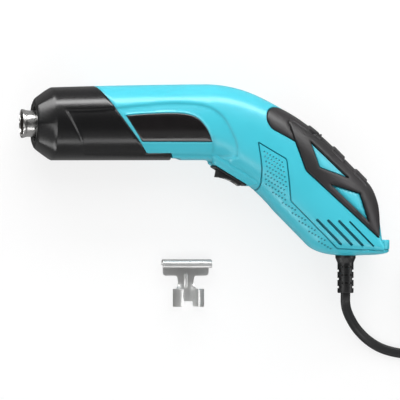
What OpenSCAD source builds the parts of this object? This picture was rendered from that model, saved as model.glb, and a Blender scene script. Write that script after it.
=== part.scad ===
// Embossing heat tool: a hand-held hot-air gun lying on its right side.
// The barrel runs along X with the nozzle at the low end, Y is up in the hand, Z is across the tool.

/* [Housing] */
// Height of the barrel at the nose
barrel_d = 41; // [40:0.5:46]
// Thickness of the tool from side to side
body_w = 41; // [40:0.5:46]
// Length of the straight barrel behind the cone
barrel_len = 87; // [84:1:96]
// Angle between the barrel and the handle
handle_angle = 45; // [40:1:50]
// Length of the straight back of the handle
handle_len = 25; // [20:1:36]
// Depth of the handle from back to front
handle_depth = 48; // [46:0.5:52]
// Wall of the moulded shells
shell_wall = 2.2; // [1.8:0.1:2.6]
// Depth of the recessed side panel
panel_depth = 0.9; // [0.5:0.1:1.2]

/* [Nozzle] */
// Outer diameter of the flared lip
lip_d = 16.2; // [15:0.2:17.4]
// Outer diameter of the outlet tube
nozzle_d = 14.8; // [13:0.2:16]
// Wall of the outlet tube
nozzle_wall = 0.7; // [0.5:0.1:1]
// Length of the tube in front of the guard
nozzle_out = 7; // [5:0.5:12]

/* [Guard] */
// Diameter of the guard's front face
guard_face_d = 26.8; // [24:0.4:30]
// Diameter of the hole in the front face
guard_hole_d = 20; // [18.5:0.5:22]
// Length of the cone
cone_len = 10.2; // [8:0.2:14]

/* [Heater] */
// Outer diameter of the stainless heater sleeve
heater_d = 23; // [21:0.5:25]
// Length of the heater sleeve
heater_len = 38; // [34:1:40]
// Number of turns in the heating coil
heater_turns = 12; // [8:1:16]
// Diameter of the coiled heating wire
heater_wire_d = 0.9; // [0.6:0.1:1.2]

/* [Motor] */
// Diameter of the motor can
motor_d = 24.2; // [20:0.2:26]
// Length of the motor can
motor_len = 26; // [22:1:30]
// Diameter of the motor shaft
shaft_d = 2; // [1.5:0.5:3]
// Number of fan blades
fan_blades = 9; // [5:1:11]

/* [Switch] */
// Length of the switch bezel
bezel_l = 21; // [20:0.5:23]
// Width of the switch bezel
bezel_w = 15; // [14:0.5:17]
// Tilt of the rocker each way from its middle position
rocker_tilt = 10; // [8:1:12]

/* [Cord] */
// Width of the flat twin cord
cord_w = 5.5; // [5:0.1:5.8]
// Thickness of the flat twin cord
cord_t = 3.1; // [2.6:0.1:3.3]
// Layers in the coil
coil_layers = 4; // [2:2:4]
// Mean diameter of the coil
coil_d = 60; // [56:1:66]

/* [Reflector] */
// Thickness of the reflector sheet
reflector_t = 0.6; // [0.4:0.1:0.8]
// Width of the reflector hood
hood_w = 28; // [24:0.5:30]

/* [Hidden] */

fit_gap = 0.05;
run_gap = 0.03;
big = 200;
speck = 0.01;

// Side view of the housing, in millimetres from the nozzle lip and the barrel axis
half_w = body_w / 2;
guard_face_x = nozzle_out;
barrel_x = guard_face_x + cone_len;
bend_x = barrel_x + barrel_len;
barrel_r = barrel_d / 2;
crown_rise = 1.7;
bend_angle = 24;
bend_r = 70;
sweep_r = 150;
barrel_back = [bend_x, barrel_r + crown_rise];
bend_depth = barrel_d + 4;
sweep_depth = handle_depth - 1.8;
ring_sides = 32;

function heading(a) = [cos(a), -sin(a)];
function inward(a) = [-sin(a), -cos(a)];
function lerp(a, b, t) = a + (b - a) * t;
function arc_step(r, a0, a1) = r * [sin(a1) - sin(a0), cos(a1) - cos(a0)];
function bezier(a, b, c, t) = (1 - t) * (1 - t) * a + 2 * t * (1 - t) * b + t * t * c;
function signed_pow(v, p) = sign(v) * pow(abs(v), p);

bend_end = barrel_back + arc_step(bend_r, 0, bend_angle);
sweep_end = bend_end + arc_step(sweep_r, bend_angle, handle_angle);
back_end = sweep_end + handle_len * heading(handle_angle);
under_end = back_end + handle_depth * inward(handle_angle);

// The butt is closed by sections that fan out between the handle's back and its base
butt_turn = back_end + [8.3, -8.2];
butt_back = back_end + [7.6, -34];
base_turn = under_end + [8.5, -10.5];
base_back = butt_back + [0, -6.2];
heel_x = butt_back[0] + 4.4;
base_y = bezier(under_end, base_turn, base_back, 0.65)[1];

// A section is [back point, underside point, half width, squareness]
function barrel_sections() = [
    [[barrel_x, barrel_r - 0.2], [barrel_x, -barrel_r], half_w, 2.35],
    [[lerp(barrel_x, bend_x, 0.5), barrel_r + crown_rise * 0.6],
        [lerp(barrel_x, bend_x, 0.5), -barrel_r + 0.1], half_w, 2.35],
    [barrel_back, [bend_x, -barrel_r + 0.2], half_w, 2.35]
];
function bend_sections(n = 4) = [
    for (i = [1 : n])
        let (a = bend_angle * i / n, back = barrel_back + arc_step(bend_r, 0, a))
        [back, back + lerp(barrel_d + 1.5, bend_depth, i / n) * inward(a), half_w, 2.4]
];
function sweep_sections(n = 4) = [
    for (i = [1 : n])
        let (
            a = lerp(bend_angle, handle_angle, i / n),
            back = bend_end + arc_step(sweep_r, bend_angle, a),
            d = i < n / 2 ? lerp(bend_depth, sweep_depth, 2 * i / n)
                : lerp(sweep_depth, handle_depth, 2 * i / n - 1)
        )
        [back, back + d * inward(a), half_w - 0.9 * i / n, 2.5]
];
function butt_sections(n = 6) = [
    for (i = [0 : n])
        let (t = i / n)
        [bezier(back_end, butt_turn, butt_back, t), bezier(under_end, base_turn, base_back, t),
            half_w - 0.9 - 1.2 * t * t, 2.6]
];
sections = concat(barrel_sections(), bend_sections(), sweep_sections(), butt_sections());

function section_ring(s, grow) =
    let (
        mid = (s[0] + s[1]) / 2,
        h = norm(s[0] - s[1]) / 2,
        up = (s[0] - s[1]) / (2 * h),
        p = 2 / s[3]
    )
    [for (k = [0 : ring_sides - 1])
        let (
            a = 360 * k / ring_sides,
            v = (h + grow) * signed_pow(sin(a), p),
            z = (s[2] + grow) * signed_pow(cos(a), p)
        )
        [mid[0] + up[0] * v, mid[1] + up[1] * v, z]];

module join_rings(a, b) {
    n = len(a);
    hull()
        polyhedron(
            points = concat(a, b),
            faces = [[for (i = [0 : n - 1]) i], [for (i = [n : 2 * n - 1]) i]]
        );
}

seam_part = 0.04;
seam_inset = 0.05;

function ring_beside(i, way, grow) =
    lerp(section_ring(sections[i], grow), section_ring(sections[i + way], grow), seam_part);

// The housing's outer form, moved in or out by grow, from section first to section last.
// Neighbouring lengths meet face to face, so a short piece inside each seam makes them one.
module body_form(grow = 0, first = 0, last = len(sections) - 1) {
    for (i = [first : last - 1])
        join_rings(section_ring(sections[i], grow), section_ring(sections[i + 1], grow));
    for (i = [first + 1 : 1 : last - 1])
        join_rings(ring_beside(i, -1, grow - seam_inset), ring_beside(i, 1, grow - seam_inset));
}

module half_space(side) {
    translate([-big, -big, side > 0 ? 0 : -2 * big])
        cube([4 * big, 2 * big, 2 * big]);
}

module side_prism(side) {
    if (side > 0)
        linear_extrude(big) children();
    else
        translate([0, 0, -big])
            linear_extrude(big) children();
}

// The part stands on its right side, over the middle of everything that it stands with
x_mid = heel_x / 2;
reflector_x = 97;
reflector_y = -102.5;
y_mid = (barrel_back[1] + reflector_y) / 2;

module place() {
    translate([-x_mid, -y_mid, half_w]) children();
}

module along_x(x, y = 0, z = 0) {
    translate([x, y, z])
        rotate([0, 90, 0]) children();
}

module disc_x(x0, x1, d, fn = 64) {
    along_x(x0) cylinder(h = x1 - x0, d = d, $fn = fn);
}

module tube_x(x0, x1, d, bore, fn = 64) {
    difference() {
        disc_x(x0, x1, d, fn);
        disc_x(x0 - 1, x1 + 1, bore, fn);
    }
}

// Slanted joint between the guard and the shells
joint_top_x = barrel_x + 24.6;
joint_lean = 35.5;
tongue_y = -barrel_r + 3.3;
tongue_x = bend_x - 20.4;
spigot_len = 6;
guard_wall = 2.2;
spigot_wall = 1.6;

module behind_joint(shift) {
    translate([joint_top_x + shift, barrel_r, -big / 2])
        rotate([0, 0, joint_lean])
            translate([0, -2 * big, 0])
                cube([2 * big, 4 * big, big]);
}

// Recessed side panel, its edge sweeping down behind the label; heights are parts of the barrel's radius
function beside_barrel(points) = [for (p = points) [p[0], p[1] * barrel_r]];
panel_line = beside_barrel([
    [barrel_x + 12, 0.356], [barrel_x + 32.6, 0.424], [barrel_x + 48.6, 0.507], [bend_x - 19.3, 0.566],
    [bend_x - 7.8, 0.546], [bend_x + 0.7, 0.424], [bend_x + 7.6, 0.146], [bend_x + 12.7, -0.307],
    [bend_x + 15.2, -0.659], [bend_x + 14, -0.829], [barrel_x + 19, -0.82]
]);
label_line = beside_barrel([
    [barrel_x + 38.6, 0.224], [barrel_x + 48.5, 0.263], [bend_x - 18.3, 0.293], [bend_x - 11.8, 0.249],
    [bend_x - 6.8, 0.122], [bend_x - 2.8, -0.102], [bend_x + 0.3, -0.502], [barrel_x + 48.2, -0.512]
]);
label_t = 0.5;

module panel_cut() {
    difference() {
        for (side = [-1, 1])
            side_prism(side) polygon(panel_line);
        body_form(-panel_depth);
    }
}

// Grip outline: a rounded tongue at the top and a straight-edged pad with two windows.
// Points are placed from the end of the handle's straight back.
grip_tongue = [
    [-59.6, 35], [-58.2, 40.4], [-53.6, 42], [-48.5, 40.6], [-35.6, 33.9], [-40, 20], [-44.1, 23.3],
    [-57, 30.1]
];
grip_pad = [
    [-46.5, 33.9], [-41.9, 33.1], [-35.6, 34.5], [-25.8, 27.6], [5.6, -5], [6.4, -10], [4.7, -31.4],
    [-37.3, 6.5], [-43.2, 22.7]
];
window_a = [[-34.4, 22.5], [-29.6, 8], [-12.4, 2]];
window_b = [[-23.6, -1.2], [-6, -6.4], [-1.4, -22.3]];
grip_seat = 0.8;
grip_rise = 0.85;
rib_rise = 0.9;

module from_back_end() {
    translate([back_end[0], back_end[1]]) children();
}

module grip_outline(margin = 0) {
    from_back_end()
        offset(delta = margin)
            difference() {
                union() {
                    polygon(grip_tongue);
                    polygon(grip_pad);
                }
                offset(delta = -0.01) polygon(window_a);
                offset(delta = -0.01) polygon(window_b);
            }
}

// Pad under the bend that carries the switch; its axes run along the face and into the body
pad_angle = -31;
pad_x = bend_x + 13.6;
pad_y = -barrel_r - 8.1;
pad_face_l = bezel_l + 4.2;
pad_face_w = bezel_w + 3.6;
pad_drop = 3;
pad_base_l = pad_face_l + 6.3;
pad_base_w = pad_face_w + 6.3;

module at_pad() {
    translate([pad_x, pad_y, 0])
        rotate([0, 0, pad_angle]) children();
}

module pad_slab(l, w, y, r = 1.6) {
    for (sx = [-1, 1], sz = [-1, 1])
        translate([sx * (l / 2 - r), y, sz * (w / 2 - r)])
            rotate([-90, 0, 0]) cylinder(h = speck, r = r, $fn = 16);
}

module pad_form(grow = 0, depth = 11) {
    at_pad() {
        hull() {
            pad_slab(pad_face_l + 2 * grow, pad_face_w + 2 * grow, -grow);
            pad_slab(pad_base_l + 2 * grow, pad_base_w + 2 * grow, pad_drop);
        }
        hull() {
            pad_slab(pad_base_l + 2 * grow, pad_base_w + 2 * grow, pad_drop);
            pad_slab(pad_base_l + 2 * grow, pad_base_w + 2 * grow, depth);
        }
    }
}

// Switch: bezel on the pad's face, body through it, rocker on a pin across the tool
cutout_l = bezel_l - 2;
cutout_w = bezel_w - 2;
bezel_t = 1;
switch_depth = 13;
window_l = cutout_l - 2.8;
rocker_w = cutout_w - 2.7;
rocker_end_w = rocker_w - 2.2;
rocker_gap = 0.35;
rocker_axis_depth = 1.5;
rocker_r = window_l / 2 - 0.2;
rocker_pin_d = 2.4;
pocket_depth = 9;

module rocker_plan(margin = 0) {
    r = (rocker_r * rocker_r + pow((rocker_w - rocker_end_w) / 2, 2)) / (rocker_w - rocker_end_w);
    intersection() {
        translate([0, rocker_w / 2 - r]) circle(r = r + margin, $fn = 96);
        translate([0, r - rocker_w / 2]) circle(r = r + margin, $fn = 96);
        square([window_l + 2 * margin - 0.4, big], center = true);
    }
}

// Vent slots in the butt
slot_w = 1.5;
slot_len = 19.3;
slot_pitch = 6.1;
slot_start = [-30.6, -21.3];
slot_count = 4;

module vent_slots() {
    for (i = [0 : slot_count - 1])
        from_back_end()
            translate([slot_start[0] + i * slot_pitch, slot_start[1] - i * 0.35, 0])
                hull()
                    for (s = [0, 1])
                        translate([s * slot_len * cos(45), -s * slot_len * sin(45), 0])
                            cylinder(h = body_w, d = slot_w * (i == 3 ? 0.7 : 1), center = true, $fn = 12);
}

// Cord exit under the butt
exit_x = back_end[0] - 10.8;
exit_y = base_y;
relief_neck_d = 10;
relief_collar_d = 11.4;
relief_tip_d = 9.1;
relief_len = 21;
relief_flange_d = 14;

// Screw places in the side view: over the motor, under the bend, in the handle and in the grip's windows
screw_places = [
    [bend_x - 7, barrel_r - 4.2], back_end + [-47, 10.5], back_end + [-33.5, -11.6],
    back_end + [-9.3, -9.5], back_end + [-26.9, 10.7]
];
screw_d = 2.9;
screw_head_d = 5.2;
screw_head_h = 2;
boss_d = 6.2;
screw_seat_z = -6;
screw_len = 14;
screw_reach = screw_len + screw_seat_z;

// Heater and motor places along the barrel axis
insulator_x = barrel_x + 4;
insulator_t = 2.5;
heater_x = insulator_x + insulator_t;
heater_end = heater_x + heater_len;
holder_x = heater_end - 3;
fan_x = heater_end + 6;
fan_l = 9;
holder_wall_x = fan_x + fan_l + 2;
motor_x = holder_wall_x + 2;
motor_end = motor_x + motor_len;
bell_t = 3;
board_x = motor_end + bell_t + 1.5;
board_d = 22;
board_t = 1.6;
inside_guard_d = 2 * (min(barrel_r, half_w) - guard_wall) - 0.4;
shield_d = inside_guard_d - 2 * spigot_wall - 2;
shield_wall = 0.5;
motor_wall = 0.9;
holder_d = 2 * (half_w - shell_wall) - 0.3;
ledge_y = tongue_y + shell_wall;
fan_d = -2 * ledge_y - 4;

module notch_under_barrel() {
    translate([-big, -big, -big / 2])
        cube([big + tongue_x + 6.8, big + tongue_y, big]);
}

module shell_cavity() {
    difference() {
        body_form(-shell_wall, 0, len(sections) - 2);
        translate([-big, -big, -big / 2])
            cube([big + tongue_x + 6.8 + shell_wall, big + ledge_y, big]);
    }
    intersection() {
        pad_form(-shell_wall);
        translate([-big, pad_y - 30, -big / 2]) cube([2 * big, 60, big]);
    }
}

module screw_bosses(side) {
    for (p = screw_places)
        translate([p[0], p[1], side > 0 ? 0.05 : -half_w])
            cylinder(h = half_w, d = boss_d, $fn = 24);
}

module screw_holes(side) {
    for (p = screw_places)
        translate([p[0], p[1], 0]) {
            cylinder(h = 2 * screw_reach + 2, d = screw_d + 2 * fit_gap, center = true, $fn = 24);
            if (side < 0)
                translate([0, 0, -half_w - 5])
                    cylinder(h = half_w + 5 + screw_seat_z, d = screw_head_d + 0.6, $fn = 24);
        }
}

clamp_y = base_y + 13;
clamp_screw_x = 7.5;

module shell(side) {
    intersection() {
        difference() {
            union() {
                difference() {
                    union() {
                        body_form();
                        pad_form();
                        heel_block();
                    }
                    shell_cavity();
                }
                intersection() {
                    body_form(-1);
                    union() {
                        screw_bosses(side);
                        if (side < 0)
                            clamp_posts();
                    }
                }
                spigot();
            }
            difference() {
                front_of_joint();
                spigot();
            }
            notch_under_barrel();
            panel_cut();
            grip_recess();
            at_pad() switch_cutout();
            vent_slots();
            screw_holes(side);
            translate([exit_x, 0, 0])
                rotate([90, 0, 0])
                    translate([0, 0, -base_y - 6])
                        cylinder(h = 20, d = relief_neck_d + 0.2, $fn = 32);
        }
        half_space(side);
    }
}

module front_of_joint() {
    difference() {
        translate([-big, -big, -big / 2]) cube([2 * big, 2 * big, big]);
        behind_joint(0.1);
    }
}

module spigot() {
    intersection() {
        difference() {
            body_form(-guard_wall - fit_gap, 0, 3);
            body_form(-guard_wall - spigot_wall, 0, 3);
            translate([-big, -big, -big / 2]) cube([2 * big, big + ledge_y - 0.6, big]);
        }
        difference() {
            behind_joint(-spigot_len);
            behind_joint(3);
        }
    }
    intersection() {
        difference() {
            body_form(-guard_wall + 0.3, 0, 3);
            body_form(-guard_wall - spigot_wall, 0, 3);
            translate([-big, -big, -big / 2]) cube([2 * big, big + ledge_y - 0.6, big]);
        }
        difference() {
            behind_joint(0.1);
            behind_joint(3);
        }
    }
}

// Foot at the back of the base, a flat rim with a rounded underside
heel_top_y = butt_back[1] + 1.6;

module heel_corner(x, z, y, h) {
    translate([x, y, z])
        rotate([90, 0, 0]) cylinder(h = h, r = 2.5, $fn = 24);
}

module heel_block() {
    hull()
        for (s = [-1, 1]) {
            heel_corner(heel_x - 2.5, s * (half_w - 8), heel_top_y, 5.2);
            heel_corner(heel_x - 6, s * (half_w - 8), heel_top_y, 7);
            heel_corner(heel_x - 14, s * (half_w - 5), heel_top_y, 7);
        }
}

module grip_recess() {
    difference() {
        linear_extrude(2 * big, center = true) grip_outline(0.1);
        body_form(-grip_seat);
    }
}

module switch_cutout() {
    translate([-cutout_l / 2 - 0.1, -5, -cutout_w / 2 - 0.1])
        cube([cutout_l + 0.2, 12, cutout_w + 0.2]);
}

module clamp_posts() {
    for (s = [-1, 1])
        translate([exit_x + s * clamp_screw_x, clamp_y, -half_w])
            cylinder(h = half_w - cord_t / 2 - 1, d = 5.6, $fn = 24);
    translate([exit_x - 4, clamp_y - 2.5, -half_w])
        cube([8, 5, half_w - cord_t / 2 - fit_gap]);
}

module left_shell() {
    color("#2fc4dc")
        shell(1);
}

module right_shell() {
    color("#2fc4dc")
        difference() {
            shell(-1);
            for (s = [-1, 1])
                translate([exit_x + s * clamp_screw_x, clamp_y, -cord_t / 2 - 1 - 8])
                    cylinder(h = 20, d = 2.2, $fn = 16);
        }
}

// Black nose piece: an eight-sided cone on a hollow barrel, with a tongue underneath
module guard_face_ring(d, x) {
    for (i = [0 : 7])
        along_x(x)
            rotate([0, 0, 45 * i + 22.5])
                translate([d / 2 / cos(22.5) - 2.2, 0, 0])
                    cylinder(h = speck, r = 2, $fn = 12);
}

module nose_cone(grow = 0) {
    hull() {
        guard_face_ring(guard_face_d + 2 * grow, guard_face_x);
        for (p = section_ring(sections[0], grow - speck / 2))
            translate(p) cube([speck, speck, speck], center = true);
    }
}

module front_guard() {
    color("#26272a")
        difference() {
            union() {
                nose_cone();
                difference() {
                    body_form(0, 0, 3);
                    behind_joint(0);
                }
                intersection() {
                    body_form(0, 0, 3);
                    translate([barrel_x, -big, -big / 2])
                        cube([tongue_x - barrel_x, big + tongue_y - fit_gap, big]);
                }
            }
            difference() {
                union() {
                    body_form(-guard_wall, 0, 3);
                    translate([guard_wall, 0, 0]) nose_cone(-guard_wall);
                }
                intersection() {
                    behind_joint(-0.5);
                    translate([-big, -2 * big, -big])
                        cube([3 * big, 2 * big + tongue_y - fit_gap, 2 * big]);
                }
            }
            disc_x(guard_face_x - 1, guard_face_x + 6, guard_hole_d, 48);
            panel_cut();
        }
}

module nozzle() {
    lip_r = lip_d / 2;
    r = nozzle_d / 2;
    flare_r = heater_d / 2 - 0.7;
    w = nozzle_wall;
    color("#c8cacc")
        along_x(0)
            rotate_extrude($fn = 96)
                polygon([
                    [lip_r - w - 0.2, 0], [lip_r, 0], [lip_r, 1.3], [r, 2],
                    [r, insulator_x - 2], [flare_r, heater_x], [flare_r, heater_x + 4],
                    [flare_r - w, heater_x + 4], [flare_r - w, heater_x + 0.3],
                    [r - w, insulator_x - 1.7], [r - w, 2.1]
                ]);
}

module front_insulator() {
    color("#d8cfa8")
        difference() {
            disc_x(insulator_x, heater_x - 0.1, inside_guard_d);
            disc_x(insulator_x - 1, heater_x + 1, heater_d - 1.3);
            for (a = [0 : 60 : 300])
                rotate([a, 0, 0])
                    along_x(insulator_x - 1, 0, heater_d / 2 + 3.2)
                        cylinder(h = 10, d = 4, $fn = 24);
        }
}

module heater_sleeve() {
    color("#b9babb")
        tube_x(heater_x, heater_end, heater_d, heater_d - 1.2);
}

mica_d = heater_d - 1.4;
mica_wall = 0.4;
former_x = heater_x + 4.5;
former_end = heater_end - 1;
former_t = 0.8;
former_tab_d = mica_d - 2 * mica_wall - 0.2;
former_w = former_tab_d - 4;

module mica_sleeve() {
    color("#d9c98f")
        tube_x(heater_x + 4.3, heater_end - 0.5, mica_d, mica_d - 2 * mica_wall);
}

module mica_former() {
    color("#e0d19a")
        for (a = [0, 90])
            rotate([a, 0, 0]) {
                translate([former_x, -former_w / 2, -former_t / 2])
                    cube([former_end - former_x, former_w, former_t]);
                for (x = [former_x, former_end - 3])
                    translate([x, -former_tab_d / 2, -former_t / 2])
                        cube([3, former_tab_d, former_t]);
            }
}

function perp(v) = let (c = cross([0, 0, 1], v)) norm(c) > 0.001 ? c / norm(c) : [1, 0, 0];

// Tube of a flat or round section swept along points; its width lies level
module swept_tube(path, w, t, sides = 8, turn = 0) {
    n = len(path);
    rings = [
        for (i = [0 : n - 1])
            let (
                d = path[min(i + 1, n - 1)] - path[max(i - 1, 0)],
                dir = d / norm(d),
                across = perp(dir),
                up = cross(dir, across)
            )
            for (k = [0 : sides - 1])
                let (a = 360 * k / sides + turn)
                path[i] + across * (w / 2 * cos(a)) + up * (t / 2 * sin(a))
    ];
    polyhedron(
        points = rings,
        faces = concat(
            [[for (k = [0 : sides - 1]) k]],
            [[for (k = [sides - 1 : -1 : 0]) (n - 1) * sides + k]],
            [for (i = [0 : n - 2], k = [0 : sides - 1])
                [i * sides + k, (i + 1) * sides + k, (i + 1) * sides + (k + 1) % sides]],
            [for (i = [0 : n - 2], k = [0 : sides - 1])
                [i * sides + k, (i + 1) * sides + (k + 1) % sides, i * sides + (k + 1) % sides]]
        )
    );
}

heater_coil_r = former_w / 2 + heater_wire_d / 2 + 0.12;
heater_coil_x = former_x + 4.5;
heater_coil_len = former_end - former_x - 9;
heater_coil_steps = 18;
heater_coil_path = [
    for (i = [0 : heater_turns * heater_coil_steps])
        let (a = 360 * i / heater_coil_steps)
        [heater_coil_x + heater_coil_len * i / (heater_turns * heater_coil_steps),
            heater_coil_r * cos(a), heater_coil_r * sin(a)]
];

module heating_coil() {
    color("#8d8a86")
        helix_tube(heater_coil_path, heater_wire_d, 5);
}

// Tube along a helix about X, each ring turned with the radius
module helix_tube(path, d, sides) {
    n = len(path);
    rings = [
        for (i = [0 : n - 1])
            let (
                out = [0, path[i][1], path[i][2]] / norm([path[i][1], path[i][2]]),
                side = [1, 0, 0]
            )
            for (k = [0 : sides - 1])
                let (a = 360 * k / sides)
                path[i] + out * (d / 2 * cos(a)) + side * (d / 2 * sin(a))
    ];
    polyhedron(
        points = rings,
        faces = concat(
            [[for (k = [sides - 1 : -1 : 0]) k]],
            [[for (k = [0 : sides - 1]) (n - 1) * sides + k]],
            [for (i = [0 : n - 2], k = [0 : sides - 1])
                [i * sides + k, (i + 1) * sides + (k + 1) % sides, (i + 1) * sides + k]],
            [for (i = [0 : n - 2], k = [0 : sides - 1])
                [i * sides + k, i * sides + (k + 1) % sides, (i + 1) * sides + (k + 1) % sides]]
        )
    );
}

module thermostat() {
    color("#a8a49c")
        translate([former_end - 8, former_t / 2 + fit_gap, former_t / 2 + fit_gap])
            cube([7, 3.4, 3]);
}

module thermal_fuse() {
    color("#cfd3d6")
        along_x(former_end - 9, -former_t / 2 - 1.2 - fit_gap, former_t / 2 + 1.2 + fit_gap)
            cylinder(h = 8, d = 2.4, $fn = 24);
}

module heat_shield() {
    color("#c2c3c4")
        tube_x(heater_x, holder_x + 2, shield_d, shield_d - 2 * shield_wall);
}

// Moulded carrier for the heater, the fan and the motor
module motor_holder() {
    color("#1d1e20")
        difference() {
            union() {
                disc_x(holder_x, fan_x - 3, shield_d + 2);
                disc_x(fan_x - 3, holder_wall_x + 2, -2 * ledge_y - 0.6);
                intersection() {
                    disc_x(holder_wall_x, holder_wall_x + 7, holder_d);
                    translate([0, ledge_y + 0.3, -big / 2]) cube([big, big, big]);
                }
                disc_x(holder_wall_x, motor_x + 10, motor_d + 3.4);
            }
            disc_x(holder_x - 1, holder_x + 2.1, shield_d + 2 * fit_gap);
            disc_x(holder_x - 1, heater_end + fit_gap, heater_d + 2 * fit_gap);
            disc_x(heater_end - 1, heater_end + 3, heater_d - 2);
            disc_x(heater_end + 2, holder_wall_x, fan_d + 1.2);
            disc_x(motor_x - fit_gap, motor_x + 11, motor_d + 2 * fit_gap);
            disc_x(holder_wall_x - 1, motor_x + 1, 7);
            for (a = [0 : 60 : 300])
                rotate([a + 30, 0, 0])
                    along_x(holder_wall_x - 1, 0, motor_d / 2 + 0.2)
                        cylinder(h = 3.6, d = 4.4, $fn = 24);
            for (s = [-1, 1])
                along_x(holder_wall_x - 1, 0, s * 6.5)
                    cylinder(h = 6, d = 2.2, $fn = 24);
        }
}

module fan() {
    color("#2b2c2e")
        difference() {
            union() {
                disc_x(fan_x, fan_x + fan_l, 7);
                disc_x(fan_x + fan_l - 1.2, fan_x + fan_l, fan_d - 6);
                for (i = [0 : fan_blades - 1])
                    rotate([360 * i / fan_blades, 0, 0])
                        translate([fan_x + 0.5, 3, 0])
                            multmatrix([[1, 0, 0, 0], [0, 1, 0, 0], [0.35, 0, 1, 0]])
                                translate([0, 0, -0.5])
                                    cube([fan_l - 1, fan_d / 2 - 3.6, 1]);
            }
            disc_x(fan_x - 1, fan_x + fan_l + 1, shaft_d);
        }
}

module motor_shaft() {
    color("#d0d2d4")
        disc_x(fan_x, motor_end + bell_t + 0.8, shaft_d, 32);
}

armature_d = motor_d - 2 * motor_wall - 7.2;
armature_x = motor_x + 5;
armature_len = motor_len - 13;

module armature() {
    color("#9c5a2c")
        difference() {
            union() {
                disc_x(armature_x, armature_x + armature_len, armature_d);
                disc_x(armature_x - 1, armature_x + armature_len + 1, 7.6);
            }
            disc_x(armature_x - 5, armature_x + armature_len + 5, shaft_d);
            for (a = [0, 120, 240])
                rotate([a, 0, 0])
                    translate([armature_x - 2, -0.9, 4.6])
                        cube([armature_len + 4, 1.8, armature_d]);
        }
}

commutator_x = armature_x + armature_len + 1.2;

module commutator() {
    color("#b87333")
        difference() {
            disc_x(commutator_x, commutator_x + 4, 5);
            disc_x(commutator_x - 1, commutator_x + 5, shaft_d);
            for (a = [0 : 120 : 240])
                rotate([a, 0, 0])
                    translate([commutator_x - 1, 1.6, -0.2]) cube([6, 2, 0.4]);
        }
}

bearing_d = 5.6;

module motor_can() {
    color("#b4b7ba")
        difference() {
            union() {
                disc_x(motor_x, motor_end, motor_d);
                disc_x(motor_x - 1.2, motor_x + 1, bearing_d + 1.2);
            }
            disc_x(motor_x + motor_wall, motor_end + 1, motor_d - 2 * motor_wall);
            disc_x(motor_x - 2, motor_x + 2, bearing_d);
            for (s = [-1, 1])
                along_x(motor_x - 2, 0, s * 6.5)
                    cylinder(h = 4, d = 2, $fn = 24);
        }
}

module motor_magnets() {
    color("#3a3a3c")
        intersection() {
            tube_x(motor_x + 3, motor_end - 7, motor_d - 2 * motor_wall, armature_d + 1);
            union() {
                for (s = [-1, 1])
                    translate([motor_x, s > 0 ? 2.5 : -big - 2.5, -big / 2])
                        cube([big, big, big]);
            }
        }
}

module front_bearing() {
    color("#b08d4f")
        tube_x(motor_x - 1.2, motor_x + 2.6, bearing_d, shaft_d + 2 * run_gap);
}

module rear_bearing() {
    color("#b08d4f")
        tube_x(motor_end + 0.2, motor_end + bell_t, bearing_d, shaft_d + 2 * run_gap);
}

module motor_end_bell() {
    color("#eceae2")
        difference() {
            union() {
                disc_x(motor_end, motor_end + bell_t, motor_d);
                disc_x(motor_end - 2, motor_end + 0.5, motor_d - 2 * motor_wall - 2 * fit_gap);
            }
            disc_x(motor_end - 3, motor_end, motor_d - 2 * motor_wall - 3);
            disc_x(motor_end - 3, motor_end + bell_t + 1, bearing_d);
            for (s = [-1, 1])
                translate([motor_end - 1, s * 7.5 - 0.4, -1.5])
                    cube([bell_t + 3, 0.8, 3]);
        }
}

module motor_brushes() {
    color("#a9793a")
        for (s = [-1, 1]) {
            translate([commutator_x + 0.4, s > 0 ? 2.5 + fit_gap : -4 - fit_gap, -1])
                cube([2.6, 1.5, 2]);
            translate([commutator_x + 0.4, s > 0 ? 4 + fit_gap : -7.9, -1.5])
                cube([0.4, 3.9 - fit_gap, 3]);
            translate([commutator_x + 0.4, s * 7.5 - 0.4, -1.5])
                cube([board_x + board_t + 0.8 - commutator_x - 0.4, 0.8, 3]);
        }
}

module motor_screws() {
    color("#c9cbcd")
        for (s = [-1, 1])
            along_x(holder_wall_x - 1.2, 0, s * 6.5) {
                cylinder(h = 1.15, d = 3.6, $fn = 24);
                cylinder(h = 5.6, d = 1.9, $fn = 24);
            }
}

module rectifier_board() {
    color("#2c6b45")
        difference() {
            disc_x(board_x, board_x + board_t, board_d);
            for (s = [-1, 1])
                translate([board_x - 1, s * 7.5 - 0.5, -1.6])
                    cube([board_t + 2, 1, 3.2]);
            disc_x(board_x - 1, board_x + board_t + 1, 4.4);
        }
}

module diodes() {
    color("#1b1b1d")
        for (sy = [-1, 1], sz = [-1, 1])
            translate([board_x + board_t + 1.45, sy * 3.6, sz * 6.2])
                rotate([90, 0, 0])
                    cylinder(h = 5, d = 2.7, center = true, $fn = 24);
}

module capacitor() {
    color("#27408b")
        translate([board_x + board_t + fit_gap, -3, -2.6])
            cube([4.6, 6, 5.2]);
}

module switch_body() {
    color("#2a2a2c")
        at_pad()
            difference() {
                union() {
                    translate([-bezel_l / 2, -bezel_t, -bezel_w / 2])
                        cube([bezel_l, bezel_t - 0.02, bezel_w]);
                    translate([-cutout_l / 2, -0.5, -cutout_w / 2])
                        cube([cutout_l, switch_depth + 0.5, cutout_w]);
                }
                rotate([-90, 0, 0])
                    translate([0, 0, -2])
                        linear_extrude(pocket_depth + 2) rocker_plan(rocker_gap);
                translate([0, rocker_axis_depth, 0])
                    cylinder(h = rocker_w + 2.2, d = rocker_pin_d + 2 * fit_gap, center = true, $fn = 32);
                for (x = [-5.5, 0, 5.5])
                    translate([x - 0.5, 1, -2.5])
                        cube([1, switch_depth + 5, 5]);
            }
}

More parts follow.
